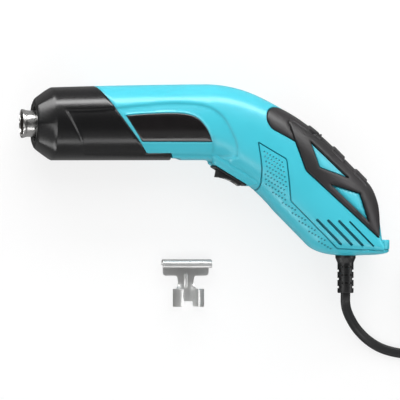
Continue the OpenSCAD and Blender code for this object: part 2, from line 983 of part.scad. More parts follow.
module rocker_profile() {
    intersection() {
        circle(r = rocker_r, $fn = 96);
        polygon([
            [-rocker_r - 1, 3.4], [-rocker_r - 1, -5.4], [-6.9, -5.3], [-3.5, -4.5], [0, -4.2],
            [3.5, -4.5], [6.9, -5.3], [rocker_r + 1, -5.4], [rocker_r + 1, 3.4]
        ]);
    }
}

module switch_rocker() {
    color("#1c1c1e")
        at_pad()
            translate([0, rocker_axis_depth, 0]) {
                rotate([0, 0, rocker_tilt])
                    intersection() {
                        translate([0, 0, -rocker_w / 2])
                            linear_extrude(rocker_w) rocker_profile();
                        rotate([-90, 0, 0])
                            translate([0, 0, -20])
                                linear_extrude(40) rocker_plan();
                    }
                cylinder(h = rocker_w + 1.8, d = rocker_pin_d, center = true, $fn = 32);
            }
}

module switch_blade() {
    color("#b87333")
        at_pad()
            translate([0, rocker_axis_depth, 0])
                rotate([0, 0, rocker_tilt])
                    translate([-5.5, 3.4, -2])
                        cube([11, 0.4, 4]);
}

module switch_terminals() {
    color("#c9b26a")
        at_pad()
            for (x = [-5.5, 0, 5.5])
                translate([x - 0.4, pocket_depth - 1.6, -2.4])
                    cube([0.8, switch_depth - pocket_depth + 8.6, 4.8]);
}

module grip(side) {
    intersection() {
        difference() {
            union() {
                body_form(grip_rise, 3);
                grip_ribs();
            }
            body_form(-grip_seat + fit_gap);
        }
        difference() {
            linear_extrude(2 * big, center = true) grip_outline(0);
            translate([0, 0, side > 0 ? -2 * big : 0])
                linear_extrude(2 * big) square([4 * big, 4 * big], center = true);
        }
    }
}

// Three raised rib pads along the back of the handle
rib_len = 8.6;
rib_pitch = 18.1;
rib_end = 0.5;

module grip_ribs() {
    intersection() {
        body_form(grip_rise + rib_rise, 3);
        for (i = [0 : 2])
            from_back_end()
                rotate([0, 0, -handle_angle])
                    translate([-i * rib_pitch - rib_len - rib_end, -6, -half_w * 0.6])
                        cube([rib_len, 20, half_w * 1.2]);
    }
}

module left_grip() {
    color("#3b3838") grip(1);
}

module right_grip() {
    color("#3b3838") grip(-1);
}

module label(side) {
    intersection() {
        difference() {
            body_form(-panel_depth + label_t, 0, 8);
            body_form(-panel_depth + 0.02, 0, 8);
        }
        side_prism(side) polygon(label_line);
    }
}

module left_label() {
    color("#202224") label(1);
}

module right_label() {
    color("#202224") label(-1);
}

module shell_screws() {
    color("#8f9295")
        for (p = screw_places)
            translate([p[0], p[1], screw_seat_z - screw_head_h])
                difference() {
                    union() {
                        cylinder(h = screw_head_h - 0.02, d = screw_head_d, $fn = 32);
                        cylinder(h = screw_head_h + screw_len, d = screw_d - 0.1, $fn = 32);
                    }
                    for (a = [0, 90])
                        rotate([0, 0, a])
                            translate([-1.5, -0.35, -1]) cube([3, 0.7, 2]);
                }
}

module cord_clamp() {
    color("#1f2022")
        difference() {
            translate([exit_x - 10.5, clamp_y - 3, cord_t / 2 + fit_gap])
                cube([21, 6, 3]);
            for (s = [-1, 1])
                translate([exit_x + s * clamp_screw_x, clamp_y, -1])
                    cylinder(h = 10, d = 2.6, $fn = 24);
        }
    color("#1f2022")
        difference() {
            for (s = [-1, 1])
                translate([exit_x + s * clamp_screw_x, clamp_y, -cord_t / 2 - 1 + 0.02])
                    cylinder(h = cord_t + 1.2, d = 5.4, $fn = 32);
            for (s = [-1, 1])
                translate([exit_x + s * clamp_screw_x, clamp_y, -5])
                    cylinder(h = 10, d = 2.6, $fn = 24);
        }
}

module clamp_screws() {
    color("#c9cbcd")
        for (s = [-1, 1])
            translate([exit_x + s * clamp_screw_x, clamp_y, cord_t / 2 + fit_gap + 3.02]) {
                cylinder(h = 1.6, d = 4.2, $fn = 32);
                translate([0, 0, -cord_t - 3 - 7])
                    cylinder(h = cord_t + 3 + 7.5, d = 2, $fn = 24);
            }
}

// Moulded sleeve that guards the cord; staggered slots let it bend
module strain_relief() {
    color("#17181a")
        difference() {
            translate([exit_x, exit_y, 0])
                rotate([90, 0, 0])
                    rotate_extrude($fn = 64)
                        polygon([
                            [0, -4.2], [relief_flange_d / 2, -4.2], [relief_flange_d / 2, -shell_wall - 0.2],
                            [relief_neck_d / 2, -shell_wall - 0.2], [relief_neck_d / 2, 0.3],
                            [relief_collar_d / 2, 0.3], [relief_collar_d / 2, 1.4],
                            [relief_tip_d / 2, 4.2], [relief_tip_d / 2, relief_len], [0, relief_len]
                        ]);
            cord_hole(exit_y - relief_len - 1, exit_y + 6, 0.06);
            for (i = [0 : 5])
                translate([exit_x, exit_y - 6.2 - 2.3 * i, 0])
                    for (s = [-1, 1])
                        relief_slot(s, i % 2 == 0);
        }
}

module relief_slot(side, front) {
    rotate([0, front ? 0 : 90, 0])
        translate([0, 0, side * (relief_tip_d / 2 + (front ? -0.6 : 0.3))])
            cube([front ? 5.4 : 4.4, 1, 1.6], center = true);
}

module cord_hole(y0, y1, gap) {
    hull_w = cord_w - cord_t;
    translate([exit_x, y0, 0])
        rotate([-90, 0, 0])
            union() {
                for (s = [-1, 1])
                    translate([s * hull_w / 2, 0, 0])
                        cylinder(h = y1 - y0, d = cord_t + 2 * gap, $fn = 32);
                translate([-hull_w / 2, -cord_t / 2 - gap, 0])
                    cube([hull_w, cord_t + 2 * gap, y1 - y0]);
            }
}

cord_start = [exit_x, exit_y - relief_len, 0];

module cord_entry() {
    color("#151618")
        cord_hole(cord_start[1], clamp_y + 6, 0);
}

// Route of the cord from the relief to the floor and on to the coil
floor_z = -half_w;
cord_z = floor_z + cord_t / 2 + 0.1;
coil_x = cord_start[0] + 76;
coil_y = cord_start[1] + 0.5;
coil_turns = 7.25;
coil_pitch = cord_w + 0.5;
coil_step = cord_t + 0.5;
coil_lift = 0.7;
coil_steps = 24;
half_cycle = coil_turns / coil_layers;
coil_out_r = coil_d / 2 + coil_pitch * half_cycle / 2;

cord_points = [
    [0, -1, 0], [0, -3, -0.3], [0.3, -5.6, -1.4], [1.6, -9.5, -4.2], [4.6, -14.5, -8.6],
    [9.4, -20.5, -13.6], [16, -26.5, -17.2], [24, -31.3, -18.7], [33, -34, -18.85], [42, -35, -18.85],
    [52, -35.2, -18.6]
];

function catmull(p0, p1, p2, p3, t) =
    0.5 * (2 * p1 + (p2 - p0) * t + (2 * p0 - 5 * p1 + 4 * p2 - p3) * t * t
        + (3 * p1 - p0 - 3 * p2 + p3) * t * t * t);
function smooth_path(p, steps) = [
    for (i = [0 : len(p) - 2], s = [0 : steps - 1])
        catmull(p[max(i - 1, 0)], p[i], p[i + 1], p[min(i + 2, len(p) - 1)], s / steps),
    p[len(p) - 1]
];

function fold(turn) = let (m = turn / half_cycle, k = floor(m)) k % 2 == 0 ? m - k : 1 - m + k;
function climb(turn) =
    let (m = round(turn / half_cycle), away = turn - m * half_cycle)
    m < 1 || m > coil_layers - 1 ? floor(min(turn / half_cycle, coil_layers - 0.5))
        : abs(away) < 0.25 ? m - 0.5 + 2 * away : floor(turn / half_cycle);
function coil_point(turn) =
    let (r = coil_out_r - coil_pitch * half_cycle * fold(turn), a = 360 * turn - 90)
    [coil_x + r * cos(a), coil_y + r * sin(a), cord_z + coil_lift + coil_step * climb(turn)];
coil_path = [for (i = [0 : coil_turns * coil_steps]) coil_point(i / coil_steps)];
coil_start = coil_path[0];
coil_end = coil_path[len(coil_path) - 1];
coil_dir = (coil_path[1] - coil_path[0]) / norm(coil_path[1] - coil_path[0]);
lead_path = concat(
    [cord_start],
    smooth_path([for (q = cord_points) cord_start + q], 3),
    [coil_start - 9 * coil_dir, coil_start - 4 * coil_dir, coil_start]
);

// The least gap between turns, taken along the line between the two oval sections
function oval_gap(a, b) =
    let (
        v = b - a,
        level = norm([v[0], v[1]]),
        q = norm([level / cord_w, v[2] / cord_t])
    )
    norm(v) * (1 - 1 / q);
coil_gap = min([
    for (i = [0 : len(coil_path) - 1], j = [i + 18 : 1 : len(coil_path) - 1])
        if (norm(coil_path[j] - coil_path[i]) < 3 * cord_w)
            oval_gap(coil_path[i], coil_path[j])
]);
echo("least gap between the coil's turns, mm", coil_gap);

function path_length(p) = len(p) < 2 ? 0 : [for (i = 0, s = 0; i < len(p); i = i + 1,
    s = i < len(p) ? s + norm(p[i] - p[i - 1]) : s) s][len(p) - 1];
echo("cord, mm", path_length(lead_path), path_length(coil_path), path_length(tail_path));

module cord() {
    color("#151618")
        swept_tube(lead_path, cord_w, cord_t, 8, 22.5);
}

module cord_coil() {
    color("#151618")
        swept_tube(coil_path, cord_w, cord_t, 6, 0);
}

plug_w = 24;
plug_t = 13;
plug_face = 10;
blade_x = 6.35;
blade_y = 4;
plug_rear = 17;
plug_neck = 8;
plug_x = coil_end[0] + 3;
plug_y = coil_end[1] + 66;
plug_z = floor_z + plug_t / 2;
coil_out = (coil_end - coil_path[len(coil_path) - 2]) / norm(coil_end - coil_path[len(coil_path) - 2]);
neck_end = [plug_x, plug_y - plug_rear - plug_neck, plug_z];
tail_path = concat(
    [coil_end],
    smooth_path([
        coil_end + coil_out, coil_end + [0, 9, -0.4], lerp(coil_end, neck_end, 0.55),
        neck_end - [0, 8, 0], neck_end - [0, 1, 0]
    ], 4),
    [neck_end]
);

module cord_tail() {
    color("#151618")
        swept_tube(tail_path, cord_w, cord_t, 8, 22.5);
}

tie_w = 8;
tie_t = 0.6;
tie_turn = 150;

module cord_tie() {
    inner_w = coil_pitch * half_cycle + cord_w + 1.2;
    inner_h = coil_layers * coil_step + 1.2;
    color("#303236")
        translate([coil_x + coil_d / 2 * cos(tie_turn), coil_y + coil_d / 2 * sin(tie_turn), floor_z])
            rotate([90, 0, tie_turn])
                translate([0, 0, -tie_w / 2])
                    linear_extrude(tie_w)
                        difference() {
                            translate([-inner_w / 2 - tie_t, 0])
                                square([inner_w + 2 * tie_t, inner_h + tie_t + coil_lift]);
                            translate([-inner_w / 2, tie_t])
                                square([inner_w, inner_h + coil_lift - tie_t]);
                        }
}

module plug_body() {
    color("#17181a")
        translate([plug_x, plug_y, plug_z])
            difference() {
                union() {
                    hull() {
                        for (s = [-1, 1])
                            translate([s * (plug_w / 2 - 3), 3 - plug_rear, 0])
                                cylinder(h = plug_t, r = 3, center = true, $fn = 32);
                        translate([-plug_w / 2 + 0.5, plug_face - 3, -plug_t / 2])
                            cube([plug_w - 1, 3, plug_t]);
                    }
                    hull() {
                        translate([-3.6, -plug_rear - plug_neck, -2.6])
                            cube([7.2, 1, 5.2]);
                        translate([-5, 1 - plug_rear, -4])
                            cube([10, 1, 8]);
                    }
                }
                for (s = [-1, 1])
                    translate([s * blade_x - 0.8, blade_y, -3.2])
                        cube([1.6, 8, 6.4]);
            }
}

module plug_blades() {
    color("#cdb46c")
        translate([plug_x, plug_y, plug_z])
            for (s = [-1, 1])
                translate([s * blade_x - 0.75, blade_y, -3.15])
                    difference() {
                        cube([1.5, 22, 6.3]);
                        translate([-1, 18, 3.15])
                            rotate([0, 90, 0]) cylinder(h = 4, d = 3, $fn = 32);
                    }
}

// Wires inside the handle and the barrel
wire_d = 1.8;
module wire(points, steps = 5) {
    swept_tube(smooth_path(points, steps), wire_d, wire_d, 6, 0);
}

module wires() {
    color("#b3251e")
        wire([
            [exit_x - 1.4, clamp_y + 6.2, 0], [exit_x - 6, clamp_y + 13, 1], [exit_x - 14, clamp_y + 23, 3],
            [exit_x - 24, clamp_y + 35, 3], [pad_x + 31, pad_y + 17, 3], [pad_x + 21, pad_y + 18, 2],
            [pad_x + 15.6, pad_y + 13.2, 0]
        ]);
    color("#20242a")
        wire([
            [exit_x + 1.4, clamp_y + 6.2, 0], [exit_x - 4, clamp_y + 14, -2.4],
            [exit_x - 13, clamp_y + 26, -4], [exit_x - 24, clamp_y + 37, -5],
            [pad_x + 29, pad_y + 23, -5], [pad_x + 14, pad_y + 32, -5], [board_x + board_t + 4, 8, -3]
        ]);
}

// Clip-on reflector nozzle, lying on its back on the floor
collar_in_d = lip_d + 0.2;
collar_r = collar_in_d / 2 + reflector_t;
collar_h = 10;
collar_gap = 8;
neck_w = 8.8;
neck_len = 7.3;
plate_h = 6;
hood_r = 3.3;
hood_drop = 1.6;
rib_l = 7.6;

module reflector() {
    t = reflector_t;
    y0 = reflector_y;
    top_y = y0 + collar_h + neck_len + plate_h;
    color("#c4c6c8")
        translate([reflector_x, 0, floor_z]) {
            difference() {
                translate([0, y0 + collar_h, collar_r])
                    rotate([90, 0, 0])
                        difference() {
                            cylinder(h = collar_h, r = collar_r, $fn = 96);
                            translate([0, 0, -1]) cylinder(h = collar_h + 2, d = collar_in_d, $fn = 96);
                        }
                translate([-collar_gap / 2, y0 - 1, collar_r])
                    cube([collar_gap, collar_h + 2, collar_r + 1]);
                translate([-collar_gap / 2, y0 - 1, -1])
                    cube([collar_gap, 4, 3]);
            }
            translate([-neck_w / 2, y0 + collar_h - 2.5, 0])
                cube([neck_w, neck_len + 2.5 + 1, t]);
            translate([-hood_w / 2 + 0.9, y0 + collar_h + neck_len, 0])
                cube([hood_w - 1.8, plate_h + 0.5, t]);
            translate([0, y0 + collar_h + 0.8, t])
                rotate([-90, 0, 0])
                    intersection() {
                        translate([0, 0.4, 0]) cylinder(h = rib_l, r = 1, $fn = 32);
                        translate([-1, -0.6, 0]) cube([2, 0.65, rib_l]);
                    }
            translate([-hood_w / 2, top_y, hood_r])
                rotate([90, 0, 90])
                    linear_extrude(hood_w)
                        difference() {
                            union() {
                                circle(r = hood_r, $fn = 64);
                                translate([-hood_drop, 0]) square([hood_drop, hood_r]);
                                translate([-0.4, -hood_r]) square([0.4, t]);
                            }
                            circle(r = hood_r - t, $fn = 64);
                            translate([-20, -hood_r + t]) square([20, 2 * hood_r - 2 * t]);
                            translate([-20 - hood_drop, -10]) square([20, 20]);
                        }
        }
}

place() left_shell();
place() right_shell();
place() front_guard();
place() nozzle();
place() front_insulator();
place() heater_sleeve();
place() mica_sleeve();
place() mica_former();
place() heating_coil();
place() thermostat();
place() thermal_fuse();
place() heat_shield();
place() motor_holder();
place() fan();
place() motor_shaft();
place() armature();
place() commutator();
place() motor_can();
place() motor_magnets();
place() front_bearing();
place() rear_bearing();
place() motor_end_bell();
place() motor_brushes();
place() motor_screws();
place() rectifier_board();
place() diodes();
place() capacitor();
place() switch_body();
place() switch_rocker();
place() switch_blade();
place() switch_terminals();
place() wires();
place() left_grip();
place() right_grip();
place() left_label();
place() right_label();
place() shell_screws();
place() cord_clamp();
place() clamp_screws();
place() strain_relief();
place() cord_entry();
place() cord();
place() cord_coil();
place() cord_tail();
place() cord_tie();
place() plug_body();
place() plug_blades();
place() reflector();
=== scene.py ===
import math

import bpy
import numpy as np
from mathutils import Matrix, Vector
from mathutils.geometry import delaunay_2d_cdt
from mathutils.kdtree import KDTree


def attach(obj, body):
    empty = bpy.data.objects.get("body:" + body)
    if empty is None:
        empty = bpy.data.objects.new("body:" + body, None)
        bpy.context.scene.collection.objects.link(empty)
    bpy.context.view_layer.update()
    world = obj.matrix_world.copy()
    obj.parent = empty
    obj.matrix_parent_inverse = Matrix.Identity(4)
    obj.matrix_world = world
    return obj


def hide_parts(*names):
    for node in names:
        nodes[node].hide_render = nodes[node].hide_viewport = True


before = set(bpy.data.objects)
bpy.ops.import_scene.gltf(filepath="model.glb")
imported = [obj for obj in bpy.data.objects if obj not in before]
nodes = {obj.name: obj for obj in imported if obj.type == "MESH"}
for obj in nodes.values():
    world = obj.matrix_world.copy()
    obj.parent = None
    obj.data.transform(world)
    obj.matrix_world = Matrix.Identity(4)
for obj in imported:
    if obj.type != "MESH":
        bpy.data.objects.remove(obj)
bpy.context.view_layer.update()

# The view: a long lens almost square to the tool's left side, turned ten degrees towards the nozzle,
# so that its open mouth just shows. The tool lies on its right side, and the lens looks down on it.
view_turn = math.radians(10.6)
view_distance = 4.0
view_width = 0.224
aim = Vector((-0.0023, -0.00245, 0.0205))
towards_lens = Vector((-math.sin(view_turn), 0, math.cos(view_turn)))
lens = bpy.data.cameras.new("camera")
lens.type = "PERSP"
lens.sensor_width = 36
lens.lens = lens.sensor_width * view_distance / view_width
lens.clip_start = 0.1
lens.clip_end = 60
camera = bpy.data.objects.new("camera", lens)
across = Vector((0, 1, 0)).cross(towards_lens).normalized()
upright = towards_lens.cross(across)
camera.matrix_world = Matrix.Translation(aim + towards_lens * view_distance) @ Matrix(
    (across, upright, towards_lens)).transposed().to_4x4()
bpy.context.scene.collection.objects.link(camera)
bpy.context.scene.camera = camera

# The cord: flat twin flex, two PVC-covered cores side by side in one jacket, extruded matt black.
# It leaves the sleeve straight down, sinks to the floor, and the rest of its 1.5 m is wound up and tied.
tool_to_row = np.array([-103.7025, 40.15, 20.5])
cord_width, cord_thick = 5.5, 3.1
exit_point = np.array([184.605, -94.859, 0.0])


def linear(colour, alpha=1.0):
    parts = [int(colour[i:i + 2], 16) / 255 for i in (1, 3, 5)]
    return tuple(c / 12.92 if c <= 0.04045 else ((c + 0.055) / 1.055) ** 2.4 for c in parts) + (alpha,)


def add(tree, kind, inputs=None, **settings):
    made = tree.nodes.new("ShaderNode" + kind)
    for key, value in settings.items():
        setattr(made, key, value)
    for key, value in (inputs or {}).items():
        if isinstance(value, bpy.types.NodeSocket):
            tree.links.new(value, made.inputs[key])
        else:
            made.inputs[key].default_value = value
    return made


def new_finish(name, **plain):
    material = bpy.data.materials.new(name)
    material.use_nodes = True
    tree = material.node_tree
    shader = tree.nodes["Principled BSDF"]
    for key, value in plain.items():
        shader.inputs[key.replace("_", " ")].default_value = value
    place = add(tree, "TexCoord").outputs["Object"]
    return material, tree, shader, place


def tinted(tree, place, grain_mm, low, high, detail=4.0):
    cloud = add(tree, "TexNoise", {"Vector": place, "Scale": 1000 / grain_mm, "Detail": detail})
    ramp = add(tree, "ValToRGB", {"Fac": cloud.outputs["Fac"]})
    ramp.color_ramp.elements[0].position = 0.35
    ramp.color_ramp.elements[1].position = 0.65
    ramp.color_ramp.elements[0].color = linear(low)
    ramp.color_ramp.elements[1].color = linear(high)
    return ramp.outputs["Color"]


def ranged(tree, place, grain_mm, low, high):
    cloud = add(tree, "TexNoise", {"Vector": place, "Scale": 1000 / grain_mm, "Detail": 0.0})
    return add(tree, "MapRange", {"Value": cloud.outputs["Fac"], "From Min": 0.3, "From Max": 0.7,
                                  "To Min": low, "To Max": high}).outputs["Result"]


def grained(tree, place, grain_mm, depth_mm):
    cloud = add(tree, "TexNoise", {"Vector": place, "Scale": 1000 / grain_mm, "Detail": 2.0})
    return add(tree, "Bump", {"Height": cloud.outputs["Fac"], "Strength": 1.0,
                              "Distance": depth_mm / 1000}).outputs["Normal"]


def patterned(name, tint, rough, grain=None, stretch=None, crevice=None, **plain):
    """A finish of three clouds: tint (mm, two colours), rough (mm, two values), grain (mm, depth in mm).

    stretch scales the last two along each axis. The colour after stretch is for painted shade: it is mixed in
    as far as the mesh's shade attribute says.
    """
    material, tree, shader, place = new_finish(name, **plain)
    colour = tinted(tree, place, *tint)
    # Painted shade: the base colour is mixed towards a dark colour where the mesh's attribute says a point
    # lies deep.
    if crevice:
        painted_shade_amount = add(tree, "Attribute", attribute_name="crevice")
        colour = add(tree, "MixRGB", {"Fac": painted_shade_amount.outputs["Fac"], "Color1": colour,
                                      "Color2": linear(crevice)}).outputs["Color"]
    tree.links.new(colour, shader.inputs["Base Color"])
    if stretch:
        place = add(tree, "Mapping", {"Vector": place, "Scale": stretch}).outputs["Vector"]
    tree.links.new(ranged(tree, place, *rough), shader.inputs["Roughness"])
    if grain:
        tree.links.new(grained(tree, place, *grain), shader.inputs["Normal"])
    return material


def plastic(name, low, high, rough, grain_mm, depth_mm, ior=1.5, **more):
    """Moulded plastic: even colour and sheen that drift a little. Pressed ceramics take it too."""
    tint_mm, tint_detail, sheen_mm, sheen_spread = 22, 0.5, 18, 0.015
    tint = (tint_mm, low, high, tint_detail)
    sheen = (sheen_mm, rough - sheen_spread, rough + sheen_spread)
    return patterned(name, tint, sheen, (grain_mm, depth_mm), IOR=ior, **more)


def object_from(name, points, faces, finish, body, sharp=None):
    mesh = bpy.data.meshes.new(name)
    mesh.from_pydata((np.asarray(points) + tool_to_row) / 1000, [], [tuple(f) for f in faces])
    mesh.update()
    made = bpy.data.objects.new(name, mesh)
    bpy.context.scene.collection.objects.link(made)
    mesh.polygons.foreach_set("use_smooth", [True] * len(mesh.polygons))
    if sharp:
        mesh.set_sharp_from_angle(angle=math.radians(sharp))
    mesh.materials.append(finish)
    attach(made, body)
    return made


# Jacket: PVC, extruded. The die leaves it semi-matt, with a faint ripple that breaks up its highlights.
jacket = plastic("pvc_cord_jacket_matt", "#0a0b0c", "#101113", 0.46, 1.2, 0.02, ior=1.53)


def flat_section(width, thick, around=28):
    lobe = thick / 2
    reach = (width - thick) / 2
    groove_deep, groove_reach = 0.32, 0.55
    ring = []
    for k in range(around):
        a = 2 * math.pi * (k + 0.5) / around
        u, v = math.cos(a), math.sin(a)
        x = u * (lobe + reach)
        dip = groove_deep * math.exp(-((x / groove_reach) ** 2))
        inside = max(abs(x) - reach, 0)
        y = math.copysign(max(math.sqrt(max(lobe * lobe - inside * inside, 0)) - dip, 0), v)
        ring.append((x, y))
    return np.array(ring)


def stack_rings(rings, capped=True):
    n, k = len(rings), len(rings[0])
    faces = [(i * k + j, i * k + (j + 1) % k, (i + 1) * k + (j + 1) % k, (i + 1) * k + j)
             for i in range(n - 1) for j in range(k)]
    if capped:
        faces += [tuple(range(k - 1, -1, -1)), tuple(range((n - 1) * k, n * k))]
    return np.vstack(rings), faces


def sweep_ring(path, ring):
    steps = np.diff(path, axis=0)
    run = np.vstack([steps[:1], steps[:-1] + steps[1:], steps[-1:]])
    run /= np.linalg.norm(run, axis=1)[:, None]
    flat = np.cross([0, 0, 1], run)
    length = np.linalg.norm(flat, axis=1)[:, None]
    flat = np.where(length > 1e-4, flat / np.maximum(length, 1e-4), [1, 0, 0])
    rise = np.cross(run, flat)
    return stack_rings(path[:, None] + flat[:, None] * ring[None, :, :1] + rise[:, None] * ring[None, :, 1:])


def spline(points, per_piece):
    p = np.asarray(points, float)
    out = []
    for i in range(len(p) - 1):
        a, b, c, d = p[max(i - 1, 0)], p[i], p[i + 1], p[min(i + 2, len(p) - 1)]
        for s in range(per_piece):
            t = s / per_piece
            out.append(0.5 * (2 * b + (c - a) * t + (2 * a - 5 * b + 4 * c - d) * t * t
                              + (3 * b - a - 3 * c + d) * t ** 3))
    out.append(p[-1])
    return np.array(out)


route = np.array([
    [0, -1, 0], [0, -3, -0.3], [0.3, -5.6, -1.4], [1.6, -9.5, -4.2], [4.6, -14.5, -8.6],
    [9.4, -20.5, -13.6], [16, -26.5, -17.2], [24, -31.3, -18.7], [33, -34, -18.85], [42, -35, -18.85],
    [52, -35.2, -18.6]]) + exit_point
floor_z = -20.5
coil_centre = exit_point[:2] + [76, 0.5]
coil_layers, coil_turns, coil_mean, coil_steps = 4, 7.25, 60.0, 36
coil_pitch, coil_rise, coil_lift = cord_width + 0.5, cord_thick + 0.5, 0.7
half_cycle = coil_turns / coil_layers
coil_outer = coil_mean / 2 + coil_pitch * half_cycle / 2


def coil_point(turn):
    part = turn / half_cycle
    whole = math.floor(part)
    fold = part - whole if whole % 2 == 0 else 1 - part + whole
    near = round(part)
    away = turn - near * half_cycle
    if near < 1 or near > coil_layers - 1:
        layer = math.floor(min(part, coil_layers - 0.5))
    else:
        layer = near - 0.5 + 2 * away if abs(away) < 0.25 else whole
    r = coil_outer - coil_pitch * half_cycle * fold
    a = 2 * math.pi * turn - math.pi / 2
    return [coil_centre[0] + r * math.cos(a), coil_centre[1] + r * math.sin(a),
            floor_z + cord_thick / 2 + 0.1 + coil_lift + coil_rise * layer]


wound = np.array([coil_point(i / coil_steps) for i in range(int(coil_turns * coil_steps) + 1)])
into_coil = (wound[1] - wound[0]) / np.linalg.norm(wound[1] - wound[0])
out_of_coil = (wound[-1] - wound[-2]) / np.linalg.norm(wound[-1] - wound[-2])
plug_at = np.array([wound[-1][0] + 3, wound[-1][1] + 66, floor_z + 6.5])
neck_at = plug_at - [0, 25, 0]
cord_path = np.vstack([
    [exit_point], spline(route, 5), [wound[0] - 9 * into_coil], [wound[0] - 4 * into_coil], wound,
    spline([wound[-1] + out_of_coil, wound[-1] + [0, 9, -0.4], wound[-1] * 0.45 + neck_at * 0.55,
            neck_at - [0, 8, 0], neck_at - [0, 1, 0]], 5), [neck_at]])
flex = object_from("flat_twin_flex", *sweep_ring(cord_path, flat_section(cord_width, cord_thick)), jacket,
                   "housing", sharp=60)
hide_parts("cord", "cord_coil", "cord_tail")

# Plug: one moulding of black PVC over two brass blades, its neck tapered on to the flat cord.
# The mould leaves it satin, with raised ribs on its grip faces; the blades are stamped.
moulding = plastic("pvc_plug_moulded_satin", "#131416", "#1b1c1f", 0.36, 0.9, 0.02, ior=1.53)


def way_at(a):
    return np.stack([np.cos(a), np.sin(a)], axis=-1)


def rounded_box_ring(width, height, corner, per_corner=5):
    rings = []
    for q, signs in enumerate(((1, 1), (-1, 1), (-1, -1), (1, -1))):
        quarter = math.pi / 2 * (q + np.linspace(0, 1, per_corner))
        rings.append(signs * (np.array([width, height]) / 2 - corner) + corner * way_at(quarter))
    return np.vstack(rings)


plug_profile = [
    (-25, 7.0, 5.0, 1.8), (-24.6, 7.3, 5.3, 2.0), (-21, 8.4, 6.2, 2.4), (-17.6, 9.8, 7.8, 2.8),
    (-16.9, 12, 9.4, 3.2), (-16.2, 15.5, 11.6, 3.8), (-14.5, 18.8, 12.7, 3.8), (-12, 20.6, 13, 3.6),
    (-9.9, 21.2, 13, 3.4), (-9.7, 20.6, 12.2, 3.2), (-8.4, 20.6, 12.2, 3.2), (-8.2, 21.5, 13, 3.4),
    (-6.9, 21.8, 13, 3.2), (-6.7, 21, 12.2, 3), (-5.4, 21.2, 12.2, 3), (-5.2, 22, 13, 3.2),
    (-3.9, 22.2, 13, 3), (-3.7, 21.4, 12.2, 2.8), (-2.4, 21.6, 12.2, 2.8), (-2.2, 22.5, 13, 3),
    (2, 23, 13, 2.4), (8.8, 23, 13, 1.6), (9.6, 22.7, 12.7, 1.5), (10, 22.1, 12.1, 1.3)]
plug_rings = []
for y, width, height, corner in plug_profile:
    ring = rounded_box_ring(width, height, corner)
    plug_rings.append(np.insert(ring, 1, y, axis=1)[::-1] + plug_at)
plug = object_from("plug_moulding", *stack_rings(plug_rings), moulding, "housing", sharp=50)
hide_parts("plug_body")


def refinish(name, finish):
    nodes[name].data.materials.clear()
    nodes[name].data.materials.append(finish)


# Blades: brass, stamped and left bright, so warm and shiny, with fine scuffs from the socket.
refinish("plug_blades", patterned("stamped_brass_bright", (5, "#c9ab66", "#e0c683"), (2.5, 0.2, 0.36),
                                  (0.8, 0.01), Metallic=1.0))

# Strap that holds the coil: woven black nylon tape, folded round the turns and stitched to itself.
# Its weave is drawn at 1.1 mm, about twice the real thread, so that it shows.
strap, tree, shader, place = new_finish("woven_nylon_strap", Roughness=0.85)
tree.links.new(tinted(tree, place, 6, "#1d1f22", "#2b2e32"), shader.inputs["Base Color"])
turned = add(tree, "Mapping", {"Vector": place, "Rotation": (0, 0, math.radians(-60))})
thread_mm, thread_depth_mm = 1.1, 0.3
threads = {"Vector": turned.outputs["Vector"], "Scale": 1000 / thread_mm / (2 * math.pi), "Distortion": 0.4}
warp, weft = [add(tree, "TexWave", threads, bands_direction=way).outputs["Fac"] for way in "XY"]
weave = add(tree, "Math", {0: warp, 1: weft}, operation="MULTIPLY")
raised = add(tree, "Bump", {"Height": weave.outputs["Value"], "Strength": 0.9,
                            "Distance": thread_depth_mm / 1000})
tree.links.new(raised.outputs["Normal"], shader.inputs["Normal"])
tie_turn = math.radians(150)
out_way = np.append(way_at(tie_turn), 0)
along_way = np.append(way_at(tie_turn + math.pi / 2), 0)
tie_middle = np.array([*coil_centre, floor_z]) + coil_mean / 2 * out_way
tie_size = np.array([coil_pitch * half_cycle + cord_width + 2.4, coil_layers * coil_rise + 1.8 + coil_lift])
tape_thick, tape_half = 0.55, 4.0
loop = rounded_box_ring(*tie_size, 3.4, 9)
tie_rings = []
for inset, offset in ((0, -tape_half), (0, tape_half), (tape_thick, tape_half), (tape_thick, -tape_half)):
    ring = loop * (1 - 2 * inset / tie_size) + [0, tie_size[1] / 2]
    tie_rings.append(tie_middle + ring[:, :1] * out_way + ring[:, 1:] * [0, 0, 1] + offset * along_way)
tie = object_from("coil_strap", *stack_rings(tie_rings + tie_rings[:1], capped=False), strap, "housing",
                  sharp=40)
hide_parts("cord_tie")


# What the housing covers: the heater, motor, board, switch contacts and wires, each in its own finish.
# Plated and drawn metals shine softly, sintered ones are dull, and the insulators are pale and matt.
def metal(name, low, high, rough, grain_mm, depth_mm):
    return patterned(name, (7, low, high), (3, rough - 0.07, rough + 0.07), (grain_mm, depth_mm),
                     Metallic=1.0)


